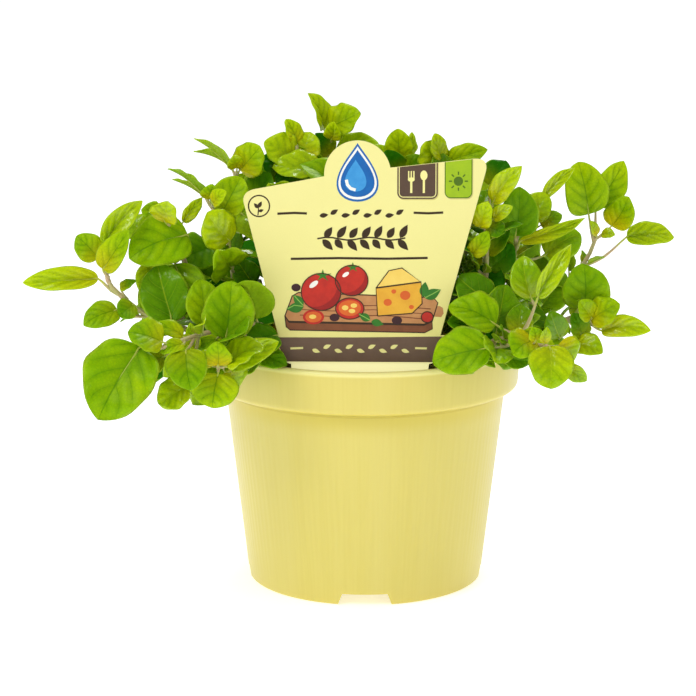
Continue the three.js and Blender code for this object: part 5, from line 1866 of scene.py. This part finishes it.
# Round shapes: middle, half-width and half-height
TOMATOES = ((-16.2, 26.4, 7.3, 6.8), (-5.0, 30.6, 6.0, 5.6), (-5.7, 20.3, 5.2, 3.9), (22.7, 17.2, 2.2, 2.0))
HALF_TOMATO = (-19.0, 17.2, 3.9, 2.7)
CRESCENTS = ((-16.2, 26.4, 7.1, 6.6), (-5.0, 30.6, 5.8, 5.4))
FLESH = ((-5.7, 20.5, 4.1, 2.9), (-19.0, 17.2, 3.0, 2.0))
SEEDS = ((-7.4, 20.6, 1.2, 0.9), (-4.2, 21.4, 1.2, 0.8), (-4.9, 19.4, 1.2, 0.8), (-19.3, 17.3, 1.3, 0.8))
HOLES = ((8.2, 22.6, 1.5, 1.3), (14.6, 25.2, 1.9, 1.7), (10.4, 26.6, 0.9, 0.8), (16.9, 20.9, 0.9, 0.8))
OLIVES = ((-11.3, 17.0, 1.8, 1.4), (11.6, 16.0, 1.9, 1.5), (-25.4, 28.0, 1.7, 1.4))
RING = (-38.9, 57.8)
RING_OUTER = 4.1
RING_INNER = 3.6

# Glints: middle, half-width, half-height and turn
GLINTS = ((-18.9, 29.2, 1.9, 0.9, 38), (-7.2, 32.8, 1.4, 0.7, 35))

# Stars on tomatoes: middle and size
CALYXES = ((-15.6, 32.4, 3.3), (-4.6, 35.4, 2.7))
CALYX_TIPS = 5
CALYX_INNER = 0.3
CALYX_FLAT = 0.7

# Leaves: base, length, width and direction
SPRIG_LEAVES = ((-39.2, 57.2, 2.6, 1.4, 60), (-39.2, 57.0, 2.4, 1.3, 130), (-39.0, 55.8, 1.9, 1.1, 20))
HERB_LEAVES = (
    (-22.6, 21.0, 6.4, 3.8, 188), (-22.8, 21.3, 5.4, 3.3, 132), (21.8, 24.2, 6.6, 3.9, 28),
    (21.2, 24.6, 5.6, 3.4, 82), (1.8, 16.0, 5.0, 2.9, 150), (2.2, 15.6, 4.6, 2.7, -14),
)
BAND_LEAVES = dict(x=-19.5, y=5.2, step=4.1, rise=0.5, length=3.1, width=1.5, leans=(-18, 24), count=9)
SMALL_LEAVES = dict(x=-16.8, y=54.2, step=4.0, rise=0.6, length=3.3, width=1.7, leans=(8, 32), count=8)

# The garland: left, right, height, leaf length and number of pairs, then how its leaves vary
GARLAND = (-17.6, 14.6, 45.9, 5.2, 7)
GARLAND_LEAN = 52
GARLAND_LEAN_UP = 10
GARLAND_LEAN_DOWN = 8
GARLAND_LENGTHS = (0.85, 0.25)
GARLAND_OFFSET = (0.4, 0.3)
TWIG_STEPS = 12
TWIG_WAVE = 0.5
TWIG_TURN = 1.1
TWIG_WIDTH = 0.55

# The shade on a round fruit: its arc and how deep it is
CRESCENT_ARC = (50, -130)
CRESCENT_STEPS = 16
CRESCENT_DEPTH = Vector((-0.22, 0.26))

# Each ink and its partner: a setting of the label, or a screen colour
INKS = {
    "brown": ("ink_brown", (50, 34, 12)),
    "band_brown": ("band_brown", (104, 80, 62)),
    "tab_brown": ((94, 72, 56), (84, 64, 48)),
    "tab_green": ("ink_green", (138, 180, 8)),
    "shadow": ((214, 204, 122), (206, 196, 118)),
    "dark_green": ((84, 120, 6), (70, 104, 4)),
    "cream": ("card_top", "card_foot"),
    "blue": ("ink_blue", (0, 82, 158)),
    "light_blue": ((62, 158, 222), (24, 128, 204)),
    "white": ((252, 250, 240), (238, 236, 226)),
    "wood": ((205, 146, 88), (176, 112, 60)),
    "dark_wood": ((138, 80, 42), (104, 56, 28)),
    "red": ((206, 42, 22), (160, 22, 14)),
    "yellow": ((240, 182, 48), (222, 152, 30)),
    "pale_yellow": ((250, 216, 104), (240, 196, 74)),
    "orange": ((228, 106, 30), (204, 78, 20)),
    "deep_red": ((168, 24, 14), (140, 16, 10)),
    "pale_green": ((150, 200, 84), (120, 176, 60)),
    "olive": ((70, 34, 38), (44, 22, 24)),
    "herb_green": ((54, 130, 30), (28, 92, 22)),
}


def on_card(x, y, z):
    """A place in the card's own plane, as a point of the model."""
    return (LABEL_FOOT + Vector((x, 0, 0)) + CARD_UP * y + CARD_OUT * z) * MM


def curve(start, control, end):
    """Points on a curve that is drawn towards its control point, without its start."""
    start, control, end = Vector(start), Vector(control), Vector(end)
    return [bent(start, control, end, k / CURVE_STEPS) for k in range(1, CURVE_STEPS + 1)]


def arc(x, y, radius, start, end, steps):
    """Points on an arc, with both ends; angles in degrees."""
    angles = [math.radians(start + (end - start) * k / steps) for k in range(steps + 1)]
    return [Vector((x + radius * math.cos(a), y + radius * math.sin(a))) for a in angles]


def corners(*points):
    """The corners of a plain outline."""
    return [Vector(point) for point in points]


def card_outline():
    """The card's outline from the tongue's tip round by the right side."""
    outline = corners(*TONGUE_RIGHT) + curve(*RIGHT_FOOT_CURVE)
    outline += corners(*RIGHT_SIDE) + curve(*RIGHT_TOP_CURVE)
    outline += arc(LOBE_X, LOBE_Y, LOBE_RADIUS, *LOBE_ARC)
    outline += corners(LEFT_TOP) + curve(*LEFT_TOP_CURVE)
    return outline + corners(*LEFT_SIDE) + curve(*LEFT_FOOT_CURVE) + corners(*TONGUE_LEFT)


def prism(bm, outline, low, high, hole=None):
    """An upright plate on the card, with a hole of as many points where one is given."""
    def wall(loop, inward):
        """The upright faces along a loop, and its corners at the foot and at the top."""
        base = [bm.verts.new(on_card(*point, low)) for point in loop]
        top = [bm.verts.new(on_card(*point, high)) for point in loop]
        for i, after in round_pairs(len(loop)):
            face = (base[i], base[after], top[after], top[i])
            bm.faces.new(reversed(face) if inward else face)
        return base, top

    base, top = wall(outline, False)
    if hole is None:
        faces = [bm.faces.new(top), bm.faces.new(reversed(base))]
        for face in faces:
            face.normal_update()
        bmesh.ops.triangulate(bm, faces=faces)
        return
    hole_base, hole_top = wall(hole, True)
    for i, after in round_pairs(len(outline)):
        bm.faces.new((top[i], top[after], hole_top[after], hole_top[i]))
        bm.faces.new((base[after], base[i], hole_base[i], hole_base[after]))


def disc(x, y, across, upright=None):
    """A circle, or an ellipse with a half-height of its own."""
    upright = across if upright is None else upright
    angles = [2 * math.pi * k / DISC_STEPS for k in range(DISC_STEPS)]
    return [Vector((x + across * math.cos(a), y + upright * math.sin(a))) for a in angles]


def turned(outline, x, y, degrees):
    """An outline drawn round the origin, turned and moved to a place."""
    turn = Matrix.Rotation(math.radians(degrees), 2)
    return [turn @ point + Vector((x, y)) for point in outline]


def leaf_mark(x, y, length, width, degrees):
    """A printed leaf from its base."""
    rim = []
    for k in range(1, MARK_STEPS):
        t = k / MARK_STEPS
        rim.append(Vector((t * length, width / 2 * math.sin(math.pi * t**MARK_BELLY))))
    outline = [Vector((0, 0)), *(Vector((p.x, -p.y)) for p in rim), Vector((length, 0)), *reversed(rim)]
    return turned(outline, x, y, degrees)


def leaf_row(x, y, step, rise, length, width, leans, count):
    """A row of printed leaves that lean two ways in turn."""
    return [leaf_mark(x + step * k, y + rise * (k % 2), length, width, leans[k % 2]) for k in range(count)]


def drop_mark(x, y, width, height):
    """A water drop with its point up."""
    outline = []
    for k in range(DROP_STEPS):
        t = -2 * math.pi * k / DROP_STEPS
        reach = width * DROP_BELLY * math.sin(t) * abs(math.sin(t / 2)) ** DROP_POINT
        outline.append(Vector((x + reach, y + height / 2 * math.cos(t))))
    return outline


def stroke(points, width):
    """A line of a given width through points."""
    points = [Vector(p) for p in points]
    left, right = [], []
    for i, point in enumerate(points):
        before, after = points[max(i - 1, 0)], points[min(i + 1, len(points) - 1)]
        way = (after - before).normalized()
        across = Vector((-way.y, way.x)) * width / 2
        left.append(point + across)
        right.append(point - across)
    return right + left[::-1]


def strokes(rows):
    """Lines from rows of a width and points."""
    return [stroke(points, width) for width, *points in rows]


def garland(x0, x1, y, size, count):
    """Leaf pairs along a slightly wavy twig."""
    twig = [
        (x0 + (x1 - x0) * k / TWIG_STEPS, y + TWIG_WAVE * math.sin(k * TWIG_TURN))
        for k in range(TWIG_STEPS + 1)
    ]
    shapes = [stroke(twig, TWIG_WIDTH)]
    for k in range(count):
        x = x0 + (x1 - x0) * (k + 0.5) / count
        down = GARLAND_LEAN_DOWN * draw(k * 7) - GARLAND_LEAN
        for way, lean in ((-1, down), (1, GARLAND_LEAN + GARLAND_LEAN_UP * draw(k * 5 + 1))):
            base = (x + GARLAND_OFFSET[0] * way, y + GARLAND_OFFSET[1] * way)
            length = size * ranged(GARLAND_LENGTHS, draw(k * 3 + way))
            shapes.append(leaf_mark(*base, length, size * 0.5, lean))
    return shapes


def sun_mark(x, y, radius, rays):
    """A small sun with its rays."""
    shapes = [disc(x, y, radius)]
    middle = Vector((x, y))
    for k in range(rays):
        angle = 2 * math.pi * k / rays
        way = Vector((math.cos(angle), math.sin(angle)))
        shapes.append(stroke([middle + way * radius * share for share in SUN_RAY], SUN_RAY_WIDTH))
    return shapes


def cutlery_mark(x, y):
    """A small fork and spoon side by side."""
    fork, spoon = x - CUTLERY_APART, x + CUTLERY_APART

    def upright(at, low, high, width):
        """An upright line."""
        return stroke([(at, y + low), (at, y + high)], width)

    def oval(at, height, across, up):
        """An ellipse."""
        return disc(at, y + height, across, up)

    shapes = [upright(fork, HANDLE_FOOT, FORK_NECK, CUTLERY_WIDTH), oval(fork, *FORK_BASE)]
    shapes += [upright(fork + side, FORK_BASE[0], TINE_TOP, TINE_WIDTH) for side in TINES]
    return shapes + [upright(spoon, HANDLE_FOOT, SPOON_NECK, CUTLERY_WIDTH), oval(spoon, *SPOON_BOWL)]


def calyx_mark(x, y, size):
    """The green star on a tomato."""
    outline = []
    for k in range(2 * CALYX_TIPS):
        angle = math.pi / 2 + k * math.pi / CALYX_TIPS
        radius = size if k % 2 == 0 else size * CALYX_INNER
        outline.append(Vector((x + radius * math.cos(angle), y + radius * CALYX_FLAT * math.sin(angle))))
    return outline


def contours(outlines, width):
    """Closed lines round shapes."""
    return [stroke([*outline, outline[0]], width) for outline in outlines]


def crescent(x, y, across, upright):
    """The shaded lower right side of a round fruit."""
    start, end = CRESCENT_ARC
    inner = arc(0, 0, 1, start, end, CRESCENT_STEPS)
    outer = arc(0, 0, 1, end, start, CRESCENT_STEPS)
    half = CRESCENT_STEPS / 2
    inner = [point + CRESCENT_DEPTH * (1 - (abs(k - half) / half) ** 2) for k, point in enumerate(inner)]
    return [Vector((x + point.x * across, y + point.y * upright)) for point in outer + inner]


def top_edge(x):
    """Height of the card's top edge to the right of its lobe, less a small gap."""
    start, height = TOP_EDGE_START
    return height + (x - start) * TOP_EDGE_SLOPE - TAB_GAP


def tab_path(left, right, foot, inset):
    """The way down, round and up a printed tab, from the card's top edge."""
    left, right, foot = left + inset, right - inset, foot + inset
    corner = TAB_CORNER - inset
    path = [Vector((left, top_edge(left)))]
    path += arc(left + corner, foot + corner, corner, 180, 270, TAB_CORNER_STEPS)
    path += arc(right - corner, foot + corner, corner, 270, 360, TAB_CORNER_STEPS)
    return [*path, Vector((right, top_edge(right)))]


def tab_mark(left, right, foot):
    """A printed tab that hangs from the card's top edge."""
    return tab_path(left, right, foot, 0.0)


def tab_shade(left, right, foot):
    """The shade beside and below a printed tab."""
    return tab_mark(left + TAB_SHADE[0], right + TAB_SHADE[0], foot + TAB_SHADE[1])


def tab_line(tab, inset, width):
    """A thin line along the inside of a tab."""
    return stroke(tab_path(*tab, inset + width / 2), width)


def print_shapes():
    """The print by ink: a piece's name, its ink, its layer and its shapes."""
    text_marks = strokes(RULES) + [leaf_mark(*row) for row in SPRIG_LEAVES] + strokes(SPRIG_STEM)
    text_marks += leaf_row(**SMALL_LEAVES) + garland(*GARLAND)
    cream_marks = strokes(BAND_RULES) + leaf_row(**BAND_LEAVES) + cutlery_mark(*CUTLERY)
    cream_marks.append(tab_line(BROWN_TAB, *BROWN_TAB_LINE))
    board, board_edge = corners(*BOARD), corners(*BOARD_EDGE)
    wedge_side, wedge_top = corners(*WEDGE_SIDE), corners(*WEDGE_TOP)
    tomatoes = [disc(*row) for row in TOMATOES]
    glints = [turned(disc(0, 0, across, upright), x, y, turn) for x, y, across, upright, turn in GLINTS]
    herbs = [calyx_mark(*row) for row in CALYXES] + [leaf_mark(*row) for row in HERB_LEAVES]
    return [
        ("label_band", "band_brown", 1, [corners(*BAND)]),
        ("label_brown_tab", "tab_brown", 1, [tab_mark(*BROWN_TAB)]),
        ("label_tab_shades", "shadow", 0.5, [tab_shade(*BROWN_TAB), tab_shade(*GREEN_TAB)]),
        ("label_green_rim", "dark_green", 2, [tab_line(GREEN_TAB, *GREEN_TAB_LINE)]),
        ("label_text_marks", "brown", 1, text_marks),
        ("label_green_tab", "tab_green", 1, [tab_mark(*GREEN_TAB)]),
        ("label_cream_marks", "cream", 2, cream_marks),
        ("label_sun", "dark_green", 2, sun_mark(*SUN)),
        ("label_drop_rim", "blue", 1, [drop_mark(*DROP_RIM)]),
        ("label_drop_gap", "white", 1.5, [drop_mark(*DROP_GAP)]),
        ("label_drop", "blue", 2, [drop_mark(*DROP)]),
        ("label_drop_light", "light_blue", 3, [drop_mark(*DROP_LIGHT)]),
        ("label_white_marks", "white", 5, strokes(DROP_GLINT) + glints),
        ("label_board", "wood", 1, [board, corners(*HANDLE)]),
        ("label_board_edge", "dark_wood", 2, [board_edge] + strokes(GRAIN_LINES)),
        ("label_tomatoes", "red", 3, tomatoes + [disc(*HALF_TOMATO)]),
        ("label_cheese", "yellow", 3, [wedge_side]),
        ("label_cheese_top", "pale_yellow", 4, [wedge_top] + [disc(*row) for row in SEEDS]),
        ("label_flesh", "orange", 4, [disc(*row) for row in FLESH + HOLES]),
        ("label_olives", "olive", 4, [disc(*row) for row in OLIVES]),
        ("label_herbs", "herb_green", 5, herbs),
        ("label_herb_veins", "pale_green", 6, strokes(HERB_VEINS)),
        ("label_outlines", "brown", 2.5, contours([board, board_edge], BOARD_LINE_WIDTH)),
        ("label_item_outlines", "brown", 6, contours([*tomatoes, wedge_side, wedge_top], ITEM_LINE_WIDTH)),
        ("label_crescents", "deep_red", 4, [crescent(*row) for row in CRESCENTS]),
    ]


def build_card(label):
    """The card with its tongue, a thin flat plate."""
    bm = bmesh.new()
    prism(bm, card_outline(), -LABEL_THICK / 2, LABEL_THICK / 2)
    piece = place_piece("label_card", closed_mesh(bm, "label_card"), card_finish(label))
    join_frame(piece, "label_card", "label")


def ink_colour(label, colour):
    """A colour that is given by the name of a setting, or as a screen colour."""
    return getattr(label, colour) if isinstance(colour, str) else paint(*colour)


def build_print(label):
    """One thin raised piece for each ink and layer, and the small ring."""
    finishes = {}
    for name, pair in INKS.items():
        finishes[name] = ink_finish("ink_" + name, *(ink_colour(label, colour) for colour in pair))
    face = LABEL_THICK / 2
    foot = face - INK_SINK
    for name, ink, layer, shapes in print_shapes():
        bm = bmesh.new()
        for number, outline in enumerate(shapes):
            prism(bm, outline, foot, face + INK_LIFT * (layer + number * INK_STEP))
        if name == "label_text_marks":
            prism(bm, disc(*RING, RING_OUTER), foot, face + INK_LIFT * layer, disc(*RING, RING_INNER))
        join_frame(place_piece(name, closed_mesh(bm, name), finishes[ink]), "label_card")


# ---------------------------------------------------------------- stage

IMAGE_WIDTH = 696
FOCAL_PIXELS = 2198.9
SENSOR = 36.0
CAMERA_PLACE = Vector((0, -0.8328, 0.2590))
CAMERA_PITCH = 0.201
CAMERA_YAW = 0.008
CAMERA_REACH = 100
FLOOR_RADIUS = 40.0
FLOOR_SIDES = 96

# Lights: name, place, target, and width and height
KEY_LIGHT = ("key", (-0.7, -0.8, 1.1), (0, 0, 0.1), (0.5, 0.5))
STRIP_LIGHT = ("strip", (-1.0, 0.2, 0.25), (0, 0, 0.06), (0.22, 0.9))
BACK_LIGHT = ("back", (0.3, 0.8, 1.3), (0, 0, 0.1), (0.45, 0.45))


def add_light(name, place, target, size, power):
    """A soft light of a given width and height that looks at its target."""
    lamp = bpy.data.lights.new(name, "AREA")
    lamp.shape = "RECTANGLE"
    lamp.size, lamp.size_y = size
    lamp.energy = power
    light = bpy.data.objects.new(name, lamp)
    light.location = place
    light.rotation_euler = (Vector(target) - Vector(place)).to_track_quat("-Z", "Y").to_euler()
    bpy.context.scene.collection.objects.link(light)


def build_stage(stage):
    """Camera, pale floor and soft light."""
    scene = bpy.context.scene
    lens = bpy.data.cameras.new("camera")
    lens.sensor_width = SENSOR
    lens.lens = SENSOR * FOCAL_PIXELS / IMAGE_WIDTH
    lens.clip_end = CAMERA_REACH
    camera = bpy.data.objects.new("camera", lens)
    camera.location = CAMERA_PLACE
    camera.rotation_euler = (math.pi / 2 - CAMERA_PITCH, 0, CAMERA_YAW)
    scene.collection.objects.link(camera)
    scene.camera = camera

    bm = bmesh.new()
    bmesh.ops.create_circle(bm, cap_ends=True, segments=FLOOR_SIDES, radius=FLOOR_RADIUS)
    mesh = bpy.data.meshes.new("floor")
    bm.to_mesh(mesh)
    bm.free()
    floor = place_piece("floor", mesh, floor_finish(stage))

    add_light(*KEY_LIGHT, stage.key_power)
    add_light(*STRIP_LIGHT, stage.strip_power)
    add_light(*BACK_LIGHT, stage.back_power)

    world = bpy.data.worlds.new("studio")
    world.use_nodes = True
    sky = world.node_tree.nodes["Background"]
    sky.inputs["Color"].default_value = (1, 1, 1, 1)
    sky.inputs["Strength"].default_value = stage.sky_strength
    world.cycles_visibility.glossy = False
    scene.world = world
    scene.view_settings.view_transform = "Standard"


# ---------------------------------------------------------------- settings


def shade(label, text, colour):
    """A colour setting."""
    return FloatVectorProperty(
        name=label, description=text, default=colour, subtype="COLOR", size=3, min=0, max=1,
    )


def amount(label, text, value, unit="NONE", least=0):
    """A number setting, with a unit where it has one."""
    return FloatProperty(name=label, description=text, default=value, unit=unit, min=least)


class OREGANO_PG_plant(bpy.types.PropertyGroup):
    """Leaves and stems."""

    leaf_green: shade("Leaf green", "Leaves at the bush's surface", paint(131, 176, 0))
    sunlit_green: shade("Sunlit green", "Brightest patches of the leaves", paint(186, 212, 0))
    # Painted shade of leaves and stems inside the bush and in the vein grooves; also the dark veins' own
    # green
    shade_and_vein_green: shade("Deep green", "Leaves inside the bush", paint(32, 108, 0))
    vein_green: shade("Vein green", "Veins of the leaves", paint(186, 208, 30))
    # Pale leaf rims, partly painted light through the thin edge, and hairs painted pale where light falls
    pale_rim_and_lit_hair_green: shade("Rim green", "Pale rims and hairs", paint(176, 214, 40))
    under_green: shade("Underside green", "Undersides of the leaves", paint(150, 184, 28))
    young_yellow: shade("Young yellow", "Base of young leaves", paint(216, 188, 14))
    stem_pink: shade("Stem pink", "Young stems", paint(204, 172, 138))
    stem_green: shade("Stem green", "Green parts of the stems", paint(182, 186, 104))
    stem_brown: shade("Stem brown", "Ribs of the stems", paint(160, 118, 78))
    petiole_pale: shade("Petiole", "Petioles", paint(214, 206, 146))
    blade_thickness: amount("Blade thickness", "Thickness of a leaf", 0.0005, "LENGTH", 0.0002)
    vein_relief: amount("Vein relief", "Quilting between the veins, as a share of the leaf", 0.042)
    hair_density: amount("Hair density", "Hairs on a square metre of leaf or stem", 110000.0)
    hair_length: amount("Hair length", "Length of a leaf hair", 0.0007, "LENGTH")


class OREGANO_PG_pot(bpy.types.PropertyGroup):
    """Plastic pot."""

    wall_yellow: shade("Wall", "Main colour of the pot", paint(221, 206, 107))
    light_yellow: shade("Light streaks", "Brighter streaks of the wall", paint(225, 211, 122))
    shade_yellow: shade("Dark streaks", "Deeper streaks of the wall", paint(213, 196, 91))
    # Painted shadow under the collar, painted shade on its lower edge and a painted highlight on the lip
    collar_shadow_yellow: shade("Groove", "Under the collar", paint(212, 194, 66))
    collar_edge_shade_yellow: shade("Edge yellow", "Lower edge of the collar", paint(176, 158, 52))
    lip_highlight_yellow: shade("Lip", "The rim's thin edge", paint(248, 240, 160))


class OREGANO_PG_soil(bpy.types.PropertyGroup):
    """Potting soil."""

    peat_dark: shade("Dark peat", "Shaded peat", paint(34, 23, 15))
    peat_brown: shade("Brown peat", "Drier peat", paint(74, 51, 33))
    fibre_tan: shade("Fibre", "Pale fibres", paint(128, 98, 62))
    crumb_size: amount("Crumb size", "Radius of an average crumb", 0.0013, "LENGTH", 0.0003)
    crumb_density: amount("Crumb density", "Crumbs on a square metre of soil", 100000.0)


class OREGANO_PG_label(bpy.types.PropertyGroup):
    """Plant label."""

    card_top: shade("Card top", "Cream of the card's top", paint(246, 239, 156))
    card_foot: shade("Card foot", "Cream of the card's foot", paint(246, 238, 144))
    # Painted light: a pale, glowing neck under the band in place of its shade
    card_neck_light: shade("Card neck", "Unprinted neck under the band", paint(255, 250, 188))
    card_warm: shade("Card warm", "Warm clouds in the cream", paint(244, 234, 144))
    ink_brown: shade("Brown ink", "Marks and rules", paint(62, 44, 18))
    band_brown: shade("Band", "Band across the foot", paint(116, 91, 72))
    ink_green: shade("Green ink", "Right tab", paint(163, 196, 4))
    ink_blue: shade("Blue ink", "Water drop", paint(0, 104, 182))


class OREGANO_PG_stage(bpy.types.PropertyGroup):
    """Studio."""

    paper: shade("Paper", "Floor", (0.92, 0.92, 0.92))
    paper_shade: shade("Paper tooth", "Floor grain", (0.86, 0.86, 0.86))
    paper_glow: amount("Paper glow", "Light that the paper gives off", 0.5)
    sky_strength: amount("Sky", "Even light from all round", 0.68)
    key_power: amount("Key light", "Main light", 6.0, "POWER")
    strip_power: amount("Strip light", "Tall light at the left", 0.2, "POWER")
    back_power: amount("Back light", "Light from behind", 7.0, "POWER")


# ---------------------------------------------------------------- operators and panel


class OREGANO_OT_stage(bpy.types.Operator):
    """Add the camera, the floor and the lights"""

    bl_idname = "oregano.stage"
    bl_label = "Stage"

    def execute(self, context):
        build_stage(context.scene.oregano_stage)
        return {"FINISHED"}


class OREGANO_OT_pot(bpy.types.Operator):
    """Add the plastic pot"""

    bl_idname = "oregano.pot"
    bl_label = "Pot"

    def execute(self, context):
        build_pot(context.scene.oregano_pot)
        return {"FINISHED"}


class OREGANO_OT_soil(bpy.types.Operator):
    """Finish the soil and add its crumbs"""

    bl_idname = "oregano.soil"
    bl_label = "Soil"

    def execute(self, context):
        build_soil(context.scene.oregano_soil)
        return {"FINISHED"}


class OREGANO_OT_card(bpy.types.Operator):
    """Add the label's card"""

    bl_idname = "oregano.card"
    bl_label = "Label card"

    def execute(self, context):
        build_card(context.scene.oregano_label)
        return {"FINISHED"}


class OREGANO_OT_print(bpy.types.Operator):
    """Add the print on the label"""

    bl_idname = "oregano.print"
    bl_label = "Label print"

    def execute(self, context):
        build_print(context.scene.oregano_label)
        return {"FINISHED"}


class OREGANO_OT_shoots(bpy.types.Operator):
    """Add the leafy shoots"""

    bl_idname = "oregano.shoots"
    bl_label = "Shoots"

    def execute(self, context):
        build_shoots(context.scene.oregano_plant)
        return {"FINISHED"}


STEPS = ("stage", "pot", "soil", "card", "print", "shoots")


class OREGANO_PT_panel(bpy.types.Panel):
    """The plant's steps in order"""

    bl_idname = "OREGANO_PT_panel"
    bl_label = "Potted oregano"
    bl_space_type = "VIEW_3D"
    bl_region_type = "UI"
    bl_category = "Oregano"

    def draw(self, context):
        """A button for each step."""
        for step in STEPS:
            self.layout.operator("oregano." + step)


SETTINGS = {
    "oregano_plant": OREGANO_PG_plant, "oregano_pot": OREGANO_PG_pot, "oregano_soil": OREGANO_PG_soil,
    "oregano_label": OREGANO_PG_label, "oregano_stage": OREGANO_PG_stage,
}
OPERATORS = (
    OREGANO_OT_stage, OREGANO_OT_pot, OREGANO_OT_soil, OREGANO_OT_card, OREGANO_OT_print, OREGANO_OT_shoots,
)


def register():
    """Adds the settings, the operators and the panel."""
    for name, group in SETTINGS.items():
        bpy.utils.register_class(group)
        setattr(bpy.types.Scene, name, PointerProperty(type=group))
    for operator in OPERATORS:
        bpy.utils.register_class(operator)
    bpy.utils.register_class(OREGANO_PT_panel)


def unregister():
    """Takes away what register adds."""
    bpy.utils.unregister_class(OREGANO_PT_panel)
    for operator in reversed(OPERATORS):
        bpy.utils.unregister_class(operator)
    for name, group in reversed(SETTINGS.items()):
        delattr(bpy.types.Scene, name)
        bpy.utils.unregister_class(group)


def main():
    """Builds every piece in order."""
    register()
    for step in STEPS:
        getattr(bpy.ops.oregano, step)()


if __name__ == "__main__":
    main()
